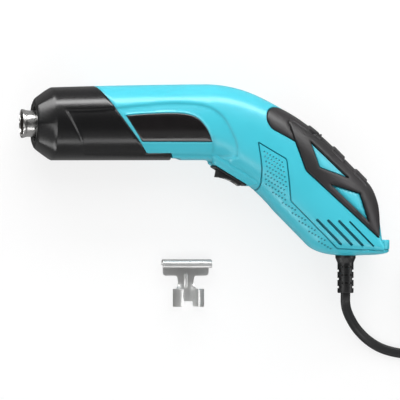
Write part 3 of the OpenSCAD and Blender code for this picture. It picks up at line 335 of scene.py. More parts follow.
inside_finishes = [
    ("front_insulator", plastic("steatite_ceramic_unglazed", "#e2dac4", "#ece6d4", 0.8, 0.5, 0.03, ior=1.6)),
    ("heater_sleeve heat_shield", metal("cold_rolled_steel", "#9b9b98", "#b0b0ac", 0.38, 1.2, 0.01)),
    ("mica_sleeve mica_former", plastic("mica_sheet_pressed", "#a98b5a", "#c9ae7c", 0.42, 1.6, 0.03,
                                        ior=1.58)),
    ("heating_coil", metal("nichrome_wire_oxidised", "#57524b", "#6e675e", 0.5, 0.4, 0.01)),
    ("motor_can motor_shaft thermal_fuse thermostat", metal("zinc_plated_steel", "#a9aba9", "#c3c5c2",
                                                            0.34, 0.8, 0.008)),
    ("shell_screws motor_screws clamp_screws", metal("zinc_passivated_screws", "#8f8f8b", "#a9a9a4",
                                                     0.36, 0.5, 0.01)),
    ("motor_holder", plastic("pbt_holder_black", "#17181a", "#1f2023", 0.5, 0.9, 0.015, ior=1.55)),
    ("fan", plastic("glass_filled_nylon_fan", "#2a2b2d", "#343537", 0.45, 0.7, 0.012, ior=1.53)),
    ("armature", metal("enamelled_copper_windings", "#8a4a22", "#a9622f", 0.32, 0.5, 0.02)),
    ("commutator motor_brushes switch_blade", metal("drawn_copper_bright", "#c9835b", "#dd9a72",
                                                    0.28, 0.8, 0.006)),
    ("motor_magnets", plastic("ferrite_sintered", "#232325", "#2d2d30", 0.7, 0.6, 0.02, ior=2.0)),
    ("front_bearing rear_bearing", metal("bronze_sintered_oiled", "#a07c45", "#b78f54", 0.42, 0.4, 0.02)),
    ("motor_end_bell", plastic("nylon_end_bell_natural", "#ddd8c8", "#e7e3d6", 0.45, 0.9, 0.01, ior=1.53)),
    ("rectifier_board", plastic("coated_laminate_green", "#1f5a33", "#286b3e", 0.35, 1.1, 0.02, ior=1.55)),
    ("diodes cord_clamp", plastic("epoxy_black_moulded", "#141415", "#1b1b1d", 0.4, 0.7, 0.01, ior=1.55)),
    ("capacitor", plastic("film_capacitor_dipped_blue", "#1c3f8e", "#2450ac", 0.22, 1.4, 0.02, ior=1.55)),
    ("switch_terminals", metal("terminal_brass_stamped", "#c7ab62", "#dcc27e", 0.3, 0.6, 0.008)),
    ("wires", plastic("silicone_wire_sleeve_red", "#a3140f", "#b51c15", 0.5, 0.6, 0.01)),
    ("cord_entry", jacket)]
for covered, finish in inside_finishes:
    for name in covered.split():
        refinish(name, finish)

# Housing form: a rounded-square barrel that bends into the handle, the same lines as the mould's.
# A point on it is named by s, how far along the body, and t, how far round from the back's seam.
half_w, barrel_x, bend_x = 20.5, 17.2, 104.2
bend_r, bend_turn, sweep_r, handle_turn = 70, 24, 150, 45
handle_run, handle_depth, handle_half = 25, 48, 19.6


def lerp(a, b, t):
    return a + (b - a) * t


def bezier(a, b, c, t):
    return (1 - t) * (1 - t) * a + 2 * t * (1 - t) * b + t * t * c


def full_turn(n):
    return np.linspace(0, 2 * math.pi, n + 1)[:-1]


def arc_step(r, a0, a1):
    return r * np.array([math.sin(a1) - math.sin(a0), math.cos(a1) - math.cos(a0)])


def station(back, depth, a, half, squareness):
    return [*back, *(back + depth * np.array([-math.sin(a), -math.cos(a)])), half, squareness]


stations = []
for t in np.linspace(0, 1, 80)[:-1]:
    x = lerp(barrel_x, bend_x, t)
    stations.append([x, 20.3 + 2.98 * t - 1.08 * t * t, x, 0.2 * t - 20.5, half_w, 2.35])
bend_start = np.array([bend_x, 22.2])
for t in np.linspace(0, 1, 30)[:-1]:
    a = math.radians(bend_turn * t)
    stations.append(station(bend_start + arc_step(bend_r, 0, a), lerp(42.5, 45, t), a, half_w, 2.4))
bend_end = bend_start + arc_step(bend_r, 0, math.radians(bend_turn))
for t in np.linspace(0, 1, 50)[:-1]:
    a = math.radians(lerp(bend_turn, handle_turn, t))
    depth = np.interp(t, [0, 0.5, 1], [45, 46.2, handle_depth])
    back = bend_end + arc_step(sweep_r, math.radians(bend_turn), a)
    stations.append(station(back, depth, a, half_w - 0.9 * t, 2.5))
sweep_end = bend_end + arc_step(sweep_r, math.radians(bend_turn), math.radians(handle_turn))
back_way = np.array([1, -1]) / math.sqrt(2)
for t in np.linspace(0, 1, 22)[:-1]:
    back = sweep_end + handle_run * t * back_way
    stations.append(station(back, handle_depth, math.radians(handle_turn), handle_half, 2.5))
back_end = sweep_end + handle_run * back_way
under_end = back_end - handle_depth * np.array([1, 1]) / math.sqrt(2)
for t in np.linspace(0, 1, 60):
    stations.append([*bezier(back_end, back_end + [8.3, -8.2], back_end + [7.6, -34], t),
                     *bezier(under_end, under_end + [8.5, -10.5], back_end + [7.6, -40.2], t),
                     handle_half - 1.2 * t * t, lerp(2.5, 2.6, t)])
stations = np.array(stations)
middles = (stations[:, :2] + stations[:, 2:4]) / 2
runs = np.concatenate([[0], np.cumsum(np.hypot(*np.diff(middles, axis=0).T))])
body_len = runs[-1]
round_steps, mean_high, mean_square = 721, 21.6, 2.4
round_angles = np.linspace(math.pi / 2, -math.pi / 2, round_steps)
rise, spread = np.sin(round_angles), np.abs(np.cos(round_angles))
nominal = np.c_[mean_high * np.sign(rise) * np.abs(rise) ** (2 / mean_square),
                half_w * spread ** (2 / mean_square)]
girths = np.concatenate([[0], np.cumsum(np.hypot(*np.diff(nominal, axis=0).T))])
girth = girths[-1]


def section_at(s):
    row = np.stack([np.interp(s, runs, stations[:, k]) for k in range(6)], axis=-1)
    middle = (row[..., :2] + row[..., 2:4]) / 2
    reach = row[..., :2] - row[..., 2:4]
    high = np.linalg.norm(reach, axis=-1) / 2
    return middle, reach / (2 * high[..., None]), high, row[..., 4], row[..., 5]


def on_body(s, t, grow=0.0):
    middle, up, high, wide, squareness = section_at(s)
    a = np.interp(t, girths, round_angles)
    v = (high + grow) * np.sign(np.sin(a)) * np.abs(np.sin(a)) ** (2 / squareness)
    z = (wide + grow) * np.abs(np.cos(a)) ** (2 / squareness)
    return np.concatenate([middle + up * v[..., None], z[..., None]], axis=-1)


def body_normal(s, t, step=0.25):
    s0, s1 = np.clip(s - step, 0, body_len), np.clip(s + step, 0, body_len)
    t0, t1 = np.clip(t - step, 0.02, girth - 0.02), np.clip(t + step, 0.02, girth - 0.02)
    normal = np.cross(on_body(s, t1) - on_body(s, t0), on_body(s1, t) - on_body(s0, t))
    normal /= np.linalg.norm(normal, axis=-1)[..., None]
    edge = (t < 0.01) | (t > girth - 0.01)
    normal[edge, 2] = 0
    return normal / np.linalg.norm(normal, axis=-1)[..., None]


def mapped(points):
    points = np.asarray(points, float)
    along = stations[:, 2:4] - stations[:, :2]
    along /= np.linalg.norm(along, axis=1)[:, None]
    away = points[:, None] - stations[None, :, :2]
    ahead = along[None, :, 1] * away[..., 0] - along[None, :, 0] * away[..., 1]
    sign = np.sign(ahead[:, 0])[:, None]
    crossed = np.argmax(ahead * sign < 0, axis=1)
    crossed = np.where((ahead * sign < 0).any(axis=1), np.maximum(crossed, 1), len(stations) - 1)
    pick = np.arange(len(points))
    f0, f1 = ahead[pick, crossed - 1], ahead[pick, crossed]
    part = np.clip(f0 / np.where(np.abs(f0 - f1) < 1e-9, 1, f0 - f1), 0, 1)
    s = lerp(runs[crossed - 1], runs[crossed], part)
    middle, up, high, wide, squareness = section_at(s)
    level = np.clip(((points - middle) * up).sum(axis=1) / high, -1, 1)
    a = np.arcsin(np.sign(level) * np.abs(level) ** (squareness / 2))
    return np.c_[s, np.interp(-a, -round_angles, girths)]


def fine(line, step=0.8, closed=True):
    line = np.asarray(line, float)
    ends = np.vstack([line, line[:1]]) if closed else line
    out = []
    for a, b in zip(ends[:-1], ends[1:]):
        n = max(1, math.ceil(np.linalg.norm(b - a) / step))
        out += [lerp(a, b, k / n) for k in range(n)]
    if not closed:
        out.append(ends[-1])
    return np.array(out)


def rounded(points, radius, closed=True, step=0.8):
    points = np.asarray(points, float)
    n = len(points)
    out = []
    for i, p in enumerate(points):
        if not closed and i in (0, n - 1):
            out.append(p)
            continue
        before, after = points[i - 1] - p, points[(i + 1) % n] - p
        cut = min(radius, 0.45 * np.linalg.norm(before), 0.45 * np.linalg.norm(after))
        start, end = p + cut * before / np.linalg.norm(before), p + cut * after / np.linalg.norm(after)
        out += [bezier(start, p, end, k / 6) for k in range(7)]
    return fine(out, step, closed)


def parallel(line, away, closed=True):
    before = np.roll(line, 1, axis=0)
    after = np.roll(line, -1, axis=0)
    if not closed:
        before[0], after[-1] = line[0], line[-1]
    run = after - before
    run /= np.maximum(np.linalg.norm(run, axis=1)[:, None], 1e-9)
    return line + away * np.c_[run[:, 1], -run[:, 0]]


def segment_distance(points, line, closed=True):
    a = line if closed else line[:-1]
    b = np.roll(line, -1, axis=0) if closed else line[1:]
    out = np.full(len(points), 1e9)
    for start in range(0, len(points), 3000):
        p = points[start:start + 3000, None]
        ab = (b - a)[None]
        part = np.clip(((p - a) * ab).sum(-1) / np.maximum((ab * ab).sum(-1), 1e-12), 0, 1)
        out[start:start + 3000] = np.linalg.norm(p - a - part[..., None] * ab, axis=-1).min(axis=1)
    return out


def inside(points, line):
    a, b = line, np.roll(line, -1, axis=0)
    hits = np.zeros(len(points), bool)
    for p, q in zip(a, b):
        if p[1] == q[1]:
            continue
        over = (p[1] > points[:, 1]) != (q[1] > points[:, 1])
        hits ^= over & (points[:, 0] < (q[0] - p[0]) * (points[:, 1] - p[1]) / (q[1] - p[1]) + p[0])
    return hits


def depth_in(points, line):
    return np.where(inside(points, line), 1, -1) * segment_distance(points, line)


def eased(x):
    x = np.clip(x, 0, 1)
    return x * x * (3 - 2 * x)


def bell(x, width):
    return np.exp(-(x / width) ** 2)


def finder(points):
    tree = KDTree(len(points))
    for i, q in enumerate(points):
        tree.insert((q[0], q[1], 0), i)
    tree.balance()
    return lambda p: tree.find((p[0], p[1], 0))


def clear_of(points, others, gap):
    find = finder(others)
    return np.array([find(p)[2] > gap for p in points], bool)


def flat_net(lines, loose, outline):
    """Counter-clockwise triangles that fill outline, along the (points, closed) lines and loose points."""
    points, edges = [], []
    for line, closed in lines:
        start, n = len(points), len(line)
        points += [tuple(p) for p in line]
        edges += [(start + k, start + (k + 1) % n) for k in range(n if closed else n - 1)]
    points += [tuple(p) for p in loose]
    points, _, faces, *_ = delaunay_2d_cdt([Vector(p) for p in points], edges, [], 0, 1e-5)
    points = np.array([tuple(p) for p in points])
    faces = np.array([tuple(f) for f in faces])
    faces = faces[inside(points[faces].mean(axis=1), outline)]
    one, two = points[faces[:, 1]] - points[faces[:, 0]], points[faces[:, 2]] - points[faces[:, 0]]
    over = one[:, 0] * two[:, 1] - one[:, 1] * two[:, 0] < 0
    faces[over] = faces[over][:, ::-1]
    return points, faces


def open_edges(faces):
    """Edges that only one triangle has, in its direction."""
    edges = dict.fromkeys((f[k], f[(k + 1) % 3]) for f in faces for k in range(3))
    return [(a, b) for a, b in edges if (b, a) not in edges]


# Stores painted shade per point, from 0 to 1, which the finishes mix towards their dark colour.
def paint_crevice_shade(made, depths):
    made.data.attributes.new("crevice", "FLOAT", "POINT").data.foreach_set("value", depths)


def skin(name, outline, holes, cuts, relief, finish, side, wall=2.0, flat_wall=None, spots=(), keep=None,
         shade=None, floors=()):
    """Triangulated skin on the body inside outline, all lines in (s, t); relief(xy, s, t) lifts it in mm.

    spots are extra points, and keep(xyz) says which faces stay. Open edges get a wall, wall mm deep, which
    ends on the mid-plane where flat_wall(xyz) says so. shade(xy, s, t) gives the painted shade at each point,
    from 0 to 1, for the finish to darken; the walls' feet get full painted shade. A hole that is also in
    floors is closed at its wall's foot by a face in full painted shade, a dark sheet in place of the shade
    inside.
    """
    pitch = 1.25
    lines = [(outline, True)] + [(hole, True) for hole in holes] + cuts
    fixed = np.vstack([line for line, _ in lines])
    if len(spots):
        spots = spots[clear_of(spots, fixed, 0.12)]
        fixed = np.vstack([fixed, spots])
    low, high = outline.min(axis=0), outline.max(axis=0)
    rows = np.arange(low[1], high[1], pitch * 0.87)
    grid = np.array([(x + (k % 2) * pitch / 2, y) for k, y in enumerate(rows)
                     for x in np.arange(low[0], high[0], pitch)])
    grid = grid[inside(grid, outline)]
    grid = grid[clear_of(grid, fixed, 0.55 * pitch)]
    domain, faces = flat_net(lines, [*spots, *grid], outline)
    centres = domain[faces].mean(axis=1)
    kept = np.ones(len(faces), bool)
    for hole in holes:
        kept &= ~inside(centres, hole)
    if keep:
        kept &= keep(on_body(centres[:, 0], np.clip(centres[:, 1], 0, girth)))
    faces = faces[kept][:, ::-1]
    s, t = domain[:, 0], np.clip(domain[:, 1], 0, girth)
    flat = on_body(s, t)
    normal = body_normal(s, t)
    points = flat + normal * relief(flat[:, :2], s, t)[:, None]
    points[(t < 1e-6) | (t > girth - 1e-6), 2] = 0
    new_points, inner_of, walls = list(points), {}, []
    # Painted shade at each point; the walls' inner feet below get full painted shade.
    dark = list(shade(flat[:, :2], s, t)) if shade else [0.0] * len(points)
    for a, b in open_edges(faces):
        on_seam = all(t[k] < 1e-4 or t[k] > girth - 1e-4 for k in (a, b))
        if on_seam or all(s[k] > body_len - 1e-4 for k in (a, b)):
            continue
        for k in (a, b):
            if k not in inner_of:
                inner_of[k] = len(new_points)
                inner = flat[k] - normal[k] * wall
                if flat_wall and flat_wall(flat[k]):
                    inner = np.array([points[k][0], points[k][1], 0.0])
                inner[2] = max(inner[2], 0)
                new_points.append(inner)
                dark.append(1.0)
        walls.append((b, a, inner_of[a], inner_of[b]))
    mesh_points = np.array(new_points)
    mesh_faces = [tuple(f) for f in faces] + walls
    find = finder(domain)
    for line in floors:
        ring = [inner_of[find(q)[1]] for q in line]
        ahead = np.roll(line, -1, axis=0)
        clockwise = (line[:, 0] * ahead[:, 1] - line[:, 1] * ahead[:, 0]).sum() < 0
        mesh_faces.append(tuple(ring if clockwise else ring[::-1]))
    if side < 0:
        mesh_points = mesh_points * [1, 1, -1]
        mesh_faces = [f[::-1] for f in mesh_faces]
    used = sorted({k for f in mesh_faces for k in f})
    renumber = {k: i for i, k in enumerate(used)}
    mesh_faces = [tuple(renumber[k] for k in f) for f in mesh_faces]
    made = object_from(name, mesh_points[used], mesh_faces, finish, "housing", sharp=42)
    if shade:
        paint_crevice_shade(made, np.array(dark)[used])
    return made


# Lines of the side view, in millimetres: the joint behind the guard, the recessed panel, the label
# and the grip. The pieces below are cut and raised along them.
joint_top, joint_lean = np.array([41.41, 21.04]), math.radians(35.5)
joint_way = np.array([math.sin(joint_lean), -math.cos(joint_lean)])
joint_square = np.array([math.cos(joint_lean), math.sin(joint_lean)])
tongue_y, tongue_x, notch_x = -17.2, 83.8, 90.6
joint_foot = joint_top + joint_way * (joint_top[1] - tongue_y) / math.cos(joint_lean)
panel_top = spline([
    [22.2, 7.6], [30, 7.6], [38, 7.9], [49.8, 8.8], [65.8, 10.4], [76, 11.3], [86, 11.6], [96.4, 11.0],
    [104.9, 8.7], [111.8, 3], [116.9, -6.3], [119.2, -12.5], [119.6, -16.8]], 12)
panel_foot = rounded([panel_top[-1], [119.6, -19], [33.1, -16.8], [31.2, -9.8], [26.9, -1], panel_top[0]], 2,
                     closed=False)
panel = fine(np.vstack([panel_top, panel_foot[1:-1]]), 0.9)
label_top = spline([[55.8, 4.6], [65.7, 5.5], [76, 6.0], [85.9, 6.0], [92.4, 5.0], [97.4, 2.5], [101.4, -2.1],
                    [103.6, -6.4], [105.0, -10.3]], 8)
label_foot = rounded([[105.0, -10.3], [105.1, -10.8], [65.4, -10.7], [55.8, 4.6]], 0.7, closed=False)
label_line = fine(np.vstack([label_top, label_foot[1:-1]]), 0.9)
grip_tongue = rounded(back_end + [[-59.6, 35], [-58.2, 40.4], [-53.6, 42], [-48.5, 40.6], [-35.6, 33.9],
                                  [-40, 20], [-44.1, 23.3], [-57, 30.1]], 3.5)
grip_pad = rounded(back_end + [[-46.5, 33.9], [-41.9, 33.1], [-35.6, 36.5], [-25.8, 30], [8, -3], [6.4, -10],
                               [4.7, -31.4], [-37.3, 6.5], [-43.2, 22.7]], 1.2)
window_a = rounded(back_end + [[-34.4, 22.5], [-29.6, 8], [-12.4, 2]], 0.6, step=0.5)
window_b = rounded(back_end + [[-23.6, -1.2], [-6, -6.4], [-1.4, -22.3]], 0.6, step=0.5)


def in_grip(points):
    outer = np.maximum(depth_in(points, grip_tongue), depth_in(points, grip_pad))
    return np.minimum(outer, np.minimum(-depth_in(points, window_a), -depth_in(points, window_b)))


def along_edge(s0, t0, s1, t1, step=1.2):
    return fine([[s0, t0], [s1, t1]], step, closed=False)


def cuts_beside(lines, offsets, closed=True):
    return [(mapped(parallel(line, d, closed)), closed) for line in lines for d in offsets]


panel_edge = 0.8
panel_cuts = cuts_beside([panel], (-panel_edge, -panel_edge / 3, panel_edge / 3, panel_edge))


def panel_relief(xy):
    return -0.9 * eased((depth_in(xy, panel) + panel_edge) / (2 * panel_edge))


def seam_relief(t):
    return -0.3 * bell(np.minimum(t, girth - t), 0.3)


seam_cuts = [(along_edge(0, t, body_len, t, 1.5), False) for t in (0.2, 0.55, girth - 0.55, girth - 0.2)]
joint_line = fine([joint_top, joint_foot], 0.8, closed=False)

# Guard: glass-filled nylon, moulded black with a fine satin grain that greys its lit flanks.
# Its cone starts as a soft octagon and turns into the barrel's rounded square.
nylon = plastic("nylon_black_satin", "#0c0c0d", "#111112", 0.25, 0.7, 0.015, ior=1.53)
joint_s = mapped(joint_line)
joint_s[0, 1] = 0
tongue_top = mapped(fine([joint_foot + [0.5, 0], [tongue_x - 1.4, tongue_y]], 1.0, closed=False))
tongue_end = mapped(fine([[tongue_x - 1.4, tongue_y - 0.1], [tongue_x, -20.45]], 0.4, closed=False))
guard_outline = np.vstack([
    along_edge(0, 0, joint_s[0, 0], 0)[:-1], joint_s, tongue_top, tongue_end[:-1],
    along_edge(tongue_end[-1, 0], girth, 0, girth)[:-1], along_edge(0, girth, 0, 0)[:-1]])


def guard_relief(xy, s, t):
    ahead = (joint_top - xy) @ joint_square
    lip = -0.35 * (1 - eased(ahead / 0.5)) * (xy[:, 1] > tongue_y - 0.2)
    return panel_relief(xy) + seam_relief(t) + lip


guard_cuts = panel_cuts + seam_cuts + [(mapped(joint_line - joint_square * d), False) for d in (0.25, 0.5)]


def in_tongue(p):
    return p[0] > joint_foot[0] + 0.3 and p[1] < tongue_y + 0.15


sides = (("left", 1), ("right", -1))
guard = [skin("guard_" + way, guard_outline, [], guard_cuts, guard_relief, nylon, side, flat_wall=in_tongue)
         for way, side in sides]


def octagon_radius(a, crispness=28):
    part = (a + math.pi / 8) % (math.pi / 4) - math.pi / 8
    flat, tip = 1 / np.cos(part), 0.985 / math.cos(math.pi / 8)
    return (flat ** -crispness + tip ** -crispness) ** (-1 / crispness) * 2 ** (0.55 / crispness)


ring_turn = full_turn(144)
barrel_ring = on_body(np.zeros(round_steps), np.linspace(0, girth, round_steps))
barrel_ring_a = np.arctan2(barrel_ring[:, 2], barrel_ring[:, 1])
barrel_ring_r = np.hypot(barrel_ring[:, 1], barrel_ring[:, 2])
round_r = np.interp(np.minimum(ring_turn, 2 * math.pi - ring_turn), barrel_ring_a, barrel_ring_r)
flat_r = octagon_radius(ring_turn + math.pi / 8)
cone_rings = []
cone_profile = [
    (14, 9.9, 0), (8.6, 9.9, 0), (7.5, 10.0, 0), (7.15, 10.25, 0), (7.0, 10.7, 0.1), (7.0, 11.9, 1),
    (7.05, 12.6, 0.9), (7.3, 13.15, 0.85), (7.8, 13.7, 0.8), (8.6, 14.35, 0.75), (10.4, 15.72, 0.66),
    (12.2, 17.1, 0.56), (13.8, 18.3, 0.42), (15.2, 19.36, 0.24), (16.1, 19.98, 0.1), (16.7, 20.3, 0.03),
    (17.2, 20.5, 0)]
for x, r, facet in cone_profile:
    form = facet * flat_r + (1 - facet) * (round_r / 20.5 if r > 12 else 1.0)
    cone_rings.append(np.c_[np.full(len(ring_turn), x), r * form[:, None] * way_at(ring_turn)])
points, faces = stack_rings(cone_rings, capped=False)
guard.append(object_from("guard_cone", points, [f[::-1] for f in faces], nylon, "housing", sharp=38))
for piece in guard:
    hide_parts("front_guard")

# Housing halves: ABS, moulded in turquoise with a fine satin finish that spreads the highlights.
# The joint's edge is broken by a small bevel; the side panel, grooves and dimples are moulded in.
# Its dark teal #0b7d8e is painted shade, mixed in where a point lies in a groove, dimple, vent or seam.
abs_plastic = plastic("abs_turquoise_satin", "#40c3d6", "#43c6d9", 0.29, 1.6, 0.004, ior=1.53,
                      crevice="#0b7d8e")
dotted_edge = back_end + [[-64.6, 22.1], [-48.4, 12.7], [-45.5, -10.5], [-44.3, -11.9], [-18.6, -37.5],
                          [7.9, -38.7]]
dotted_start = back_end + [[-64.6, 22.1], [-62.2, 8.4], [-61.9, -2.2], [-63.6, -6.6], [-65.3, -8.4]]
grooves = [rounded(dotted_edge, 1.5, closed=False), rounded(dotted_start, 3, closed=False)]
groove_half, groove_foot, groove_depth = 0.45, 0.14, 0.75
valley = fine([[105.3, -8.0], [105.7, -12], [105.9, -16.5]], 0.6, closed=False)
dimple_area = back_end + [[-62.4, 19.0], [-50.2, 12.0], [-47.2, -11.0], [-20.3, -37.8], [-24.5, -37.8],
                          [-52, -9.8], [-60.2, -1.5], [-60.3, 8.0]]
lattice = np.array([[1.69, -0.98], [-1.14, -1.76]])
steps = np.array([(i, k) for i in range(-12, 40) for k in range(-12, 40)])
dimples = back_end + [-61.2, 16.9] + steps @ lattice
dimples = dimples[inside(dimples, dimple_area)]
dimple_r, dimple_depth = 0.5, 0.32
dimple_points = np.vstack([dimples] + [dimples + r * way_at(a)
                                       for r in (0.28, dimple_r, 0.66) for a in full_turn(8)])
slot_run = 19.3 * back_way
slot_lines = []
for i, r in enumerate((0.75, 0.75, 0.75, 0.52)):
    start = back_end + [-30.6 + 6.1 * i, -21.3 - 0.35 * i]
    beside = r * np.array([1, 1]) / math.sqrt(2)
    between = start + np.outer(np.arange(1, 24) / 24, slot_run)
    half_round = np.linspace(math.pi / 4, 5 * math.pi / 4, 9)
    slot_lines.append(np.vstack([
        start + r * way_at(half_round), between - beside,
        start + slot_run + r * way_at(half_round + math.pi), between[::-1] + beside]))
shell_joint = joint_line + joint_square * 0.1
shell_joint_s = mapped(shell_joint)
shell_joint_s[0, 1] = 0
notch_top = mapped(fine([[tongue_x - 0.7, tongue_y], joint_foot + [0.15, 0]], 1.0, closed=False))
notch_step = mapped(fine([[notch_x, -20.35], [notch_x - 1.6, -19.4], [tongue_x + 0.4, -18.9],
                          [tongue_x - 0.7, tongue_y]], 0.4, closed=False))
notch_step[0, 1] = girth
shell_outline = np.vstack([
    along_edge(shell_joint_s[0, 0], 0, body_len, 0)[:-1], along_edge(body_len, 0, body_len, girth)[:-1],
    along_edge(body_len, girth, notch_step[0, 0], girth)[:-1], notch_step[:-1], notch_top[:-1],
    shell_joint_s[::-1][:-1]])
grip_cut_lines = [grip_tongue, grip_pad, window_a, window_b]
shell_cuts = (panel_cuts + seam_cuts
              + [(mapped(shell_joint + joint_square * d), False) for d in (0.25, 0.5)]
              + cuts_beside([label_line], (-0.8, -0.5, -0.25, 0.1))
              + cuts_beside(grip_cut_lines, (-0.6, -0.35, 0))
              + cuts_beside(grooves, (-groove_half, -groove_foot, groove_foot, groove_half), False)
              + cuts_beside([valley], (-0.9, 0, 0.9), False))


def in_groove(xy, line):
    return np.clip((groove_half - segment_distance(xy, line, False)) / (groove_half - groove_foot), 0, 1)


def shell_relief(xy, s, t):
    behind = (xy - joint_top) @ joint_square - 0.1
    lip = -0.4 * (1 - eased(behind / 0.5)) * (xy[:, 1] > tongue_y - 0.2)
    label_depth = depth_in(xy, label_line)
    rim = 0.3 * bell(label_depth + 0.5, 0.2) - 0.25 * eased((label_depth + 0.1) / 0.2)
    grip = -0.85 * eased((in_grip(xy) + 0.6) / 0.6)
    groove = -groove_depth * sum(in_groove(xy, line) for line in grooves)
    fold = -0.3 * bell(segment_distance(xy, valley, False), 0.8)
    dimple = -dimple_depth * np.clip(1 - (dimple_distance(xy) / dimple_r) ** 2, 0, 1)
    return panel_relief(xy) + seam_relief(t) + lip + rim + grip + groove + fold + dimple


find_dimple = finder(dimples)


def dimple_distance(xy):
    return np.array([find_dimple(p)[2] for p in xy])


# Painted shade along the seam where the two halves meet.
def seam_shade(t):
    return 0.8 * bell(np.minimum(t, girth - t), 0.26)


# Painted shade for the halves: in grooves and dimples, beside the grip, a painted shadow inside the grip's
# windows, under the label, along the valley and the panel's step, and along the seam.
def shell_shade(xy, s, t):
    groove = np.maximum(*[in_groove(xy, line) for line in grooves])
    dimple = 0.95 * np.clip((0.62 - dimple_distance(xy)) / 0.16, 0, 1)
    beside_grip = np.clip((in_grip(xy) + 0.6) / 0.25, 0, 1)
    window = np.maximum(depth_in(xy, window_a), depth_in(xy, window_b))
    in_window = 0.55 * np.exp(-np.clip(window, 0, 9) / 1.6) * (window > 0)
    plate = np.clip((depth_in(xy, label_line) + 0.25) / 0.3, 0, 1)
    fold = 0.25 * bell(segment_distance(xy, valley, False), 0.8)
    step = 0.3 * bell(depth_in(xy, panel) - 0.3, 0.5)
    return np.max([groove, dimple, beside_grip, in_window, plate, fold, step, seam_shade(t)], axis=0)


pad_origin, pad_turn = np.array([117.8, -28.6, 0.0]), math.radians(31)
pad_along = np.array([math.cos(pad_turn), -math.sin(pad_turn), 0])
pad_into = np.array([math.sin(pad_turn), math.cos(pad_turn), 0])


def beside_switch(p):
    half_length, half_width, deep = 9, 6, 14
    u, depth = (p - pad_origin) @ pad_along, (p - pad_origin) @ pad_into
    return (np.abs(u) > half_length) | (p[:, 2] > half_width) | (depth > deep)


def in_notch(p):
    return p[0] < notch_x + 0.1 and p[1] < tongue_y + 0.3


screw_hole_r = 2.9
screw_places = np.vstack([[97.2, 16.3],
                          back_end + [[-47, 10.5], [-33.5, -11.6], [-9.3, -9.5], [-26.9, 10.7]]])
screw_holes = [mapped(p + screw_hole_r * way_at(full_turn(32))) for p in screw_places]
slot_holes = [mapped(line) for line in slot_lines]
# The vent slots are closed at their walls' foot by floors in full painted shade, in place of the dark inside.
for (way, side), drilled in zip(sides, ([], screw_holes)):
    shell = skin("shell_" + way, shell_outline, slot_holes + drilled, shell_cuts, shell_relief, abs_plastic,
                 side, spots=mapped(dimple_points), flat_wall=in_notch, shade=shell_shade, floors=slot_holes,
                 keep=beside_switch)
    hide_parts(way + "_shell")

# Raised pad under the bend and foot of the butt, moulded with the halves in the same plastic.
# The pad's face is flat round the switch and flares into the body; the foot is a rim over the base.
pad_levels = [(3.5, 19.2, 13.2, 0.3), (0.25, 19.2, 13.2, 0.3), (0, 19.6, 13.6, 0.5), (0, 23.9, 17.3, 1.3),
              (0.08, 24.5, 17.9, 1.5), (0.3, 25.0, 18.4, 1.7), (0.7, 25.5, 18.9, 1.8), (2.5, 30.3, 23.7, 2.0),
              (2.85, 31.1, 24.5, 2.1), (3.2, 31.5, 24.9, 2.2), (6, 31.7, 25.1, 2.4), (10, 31.7, 25.1, 2.4)]


def on_pad(u, depth, z):
    u, depth, z = np.broadcast_arrays(u, depth, z)
    return pad_origin + u[..., None] * pad_along + depth[..., None] * pad_into + z[..., None] * [0, 0, 1]


def half_box_ring(length, width, corner, per_corner=7):
    half = length / 2
    ring = [[(-half, 0), (-half, 0.15), (-half, 0.4)]]
    for q, sign in ((2, -1), (1, 1)):
        quarter = math.pi / 2 * (q - np.linspace(0, 1, per_corner))
        ring.append([sign * (half - corner), width / 2 - corner] + corner * way_at(quarter))
    return np.vstack(ring + [[(half, 0.4), (half, 0.15), (half, 0)]])


def open_stack(rings):
    k = len(rings[0])
    faces = [(i * k + j, i * k + j + 1, (i + 1) * k + j + 1, (i + 1) * k + j)
             for i in range(len(rings) - 1) for j in range(k - 1)]
    return np.vstack(rings), faces


heel_line = rounded([[183, 17.9], [193.4, 18.0], [201.4, 15.4], [204.9, 15.0], [207.41, 12.5],
                     [207.41, 0.0]], 2.6, closed=False, step=0.9)
heel_levels = [
    (-65.4, 1.6), (-64.95, 0.75), (-64.9, 0.5), (-64.98, 0.18), (-65.3, 0.0), (-69.7, 0.0), (-70.1, 0.12),
    (-70.35, 0.45), (-70.75, 0.45), (-71.0, 0.2), (-71.4, 0.35), (-71.9, 0.9), (-72.4, 2.0), (-72.9, 4.4),
    (-73.3, 8.0), (-73.5, 12)]
# Painted shade in the groove round the foot: full on the groove's levels, none elsewhere.
heel_groove_shade = [float(-70.8 < y < -70.3) for y, _ in heel_levels]
from_centre = heel_line - [190, 0]
inward = from_centre / np.maximum(np.linalg.norm(from_centre, axis=1)[:, None], 1)
for way, side in sides:
    pad_rings = []
    for depth, length, width, corner in pad_levels:
        ring = half_box_ring(length, width, corner)
        pad_rings.append(on_pad(ring[:, 0], depth + 0.35 * bell(ring[:, 1], 0.2), side * ring[:, 1]))
    points, faces = open_stack(pad_rings)
    pad_half = object_from("switch_pad_" + way, points, [f[::side] for f in faces], abs_plastic, "housing",
                           sharp=45)
    # Painted shade along the seam where the two pad halves meet.
    paint_crevice_shade(pad_half, bell(points[:, 2], 0.17))
    heel_rings = []
    for y, inset in heel_levels:
        pulled = heel_line - inset * inward
        pulled[-1, 1] = 0
        places = mapped(np.insert(pulled[:, :1], 1, y, axis=1))
        under_skin = on_body(places[:, 0], places[:, 1])[:, 2] - 3
        emerged = eased((pulled[:, 0] - 186) / 10) if y < -70.05 else (pulled[:, 0] > 202.4) * 1.0
        depth = lerp(np.minimum(under_skin, pulled[:, 1]), pulled[:, 1], emerged) * (pulled[:, 1] > 0)
        heel_rings.append(np.c_[pulled[:, 0], np.full(len(pulled), y), side * np.maximum(depth, 0)])
    points, faces = open_stack(heel_rings)
    heel_half = object_from("heel_" + way, points, [f[::-side] for f in faces], abs_plastic, "housing",
                            sharp=45)
    paint_crevice_shade(heel_half, np.repeat(heel_groove_shade, len(heel_line)))
    for piece in (pad_half, heel_half):
        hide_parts(way + "_shell")
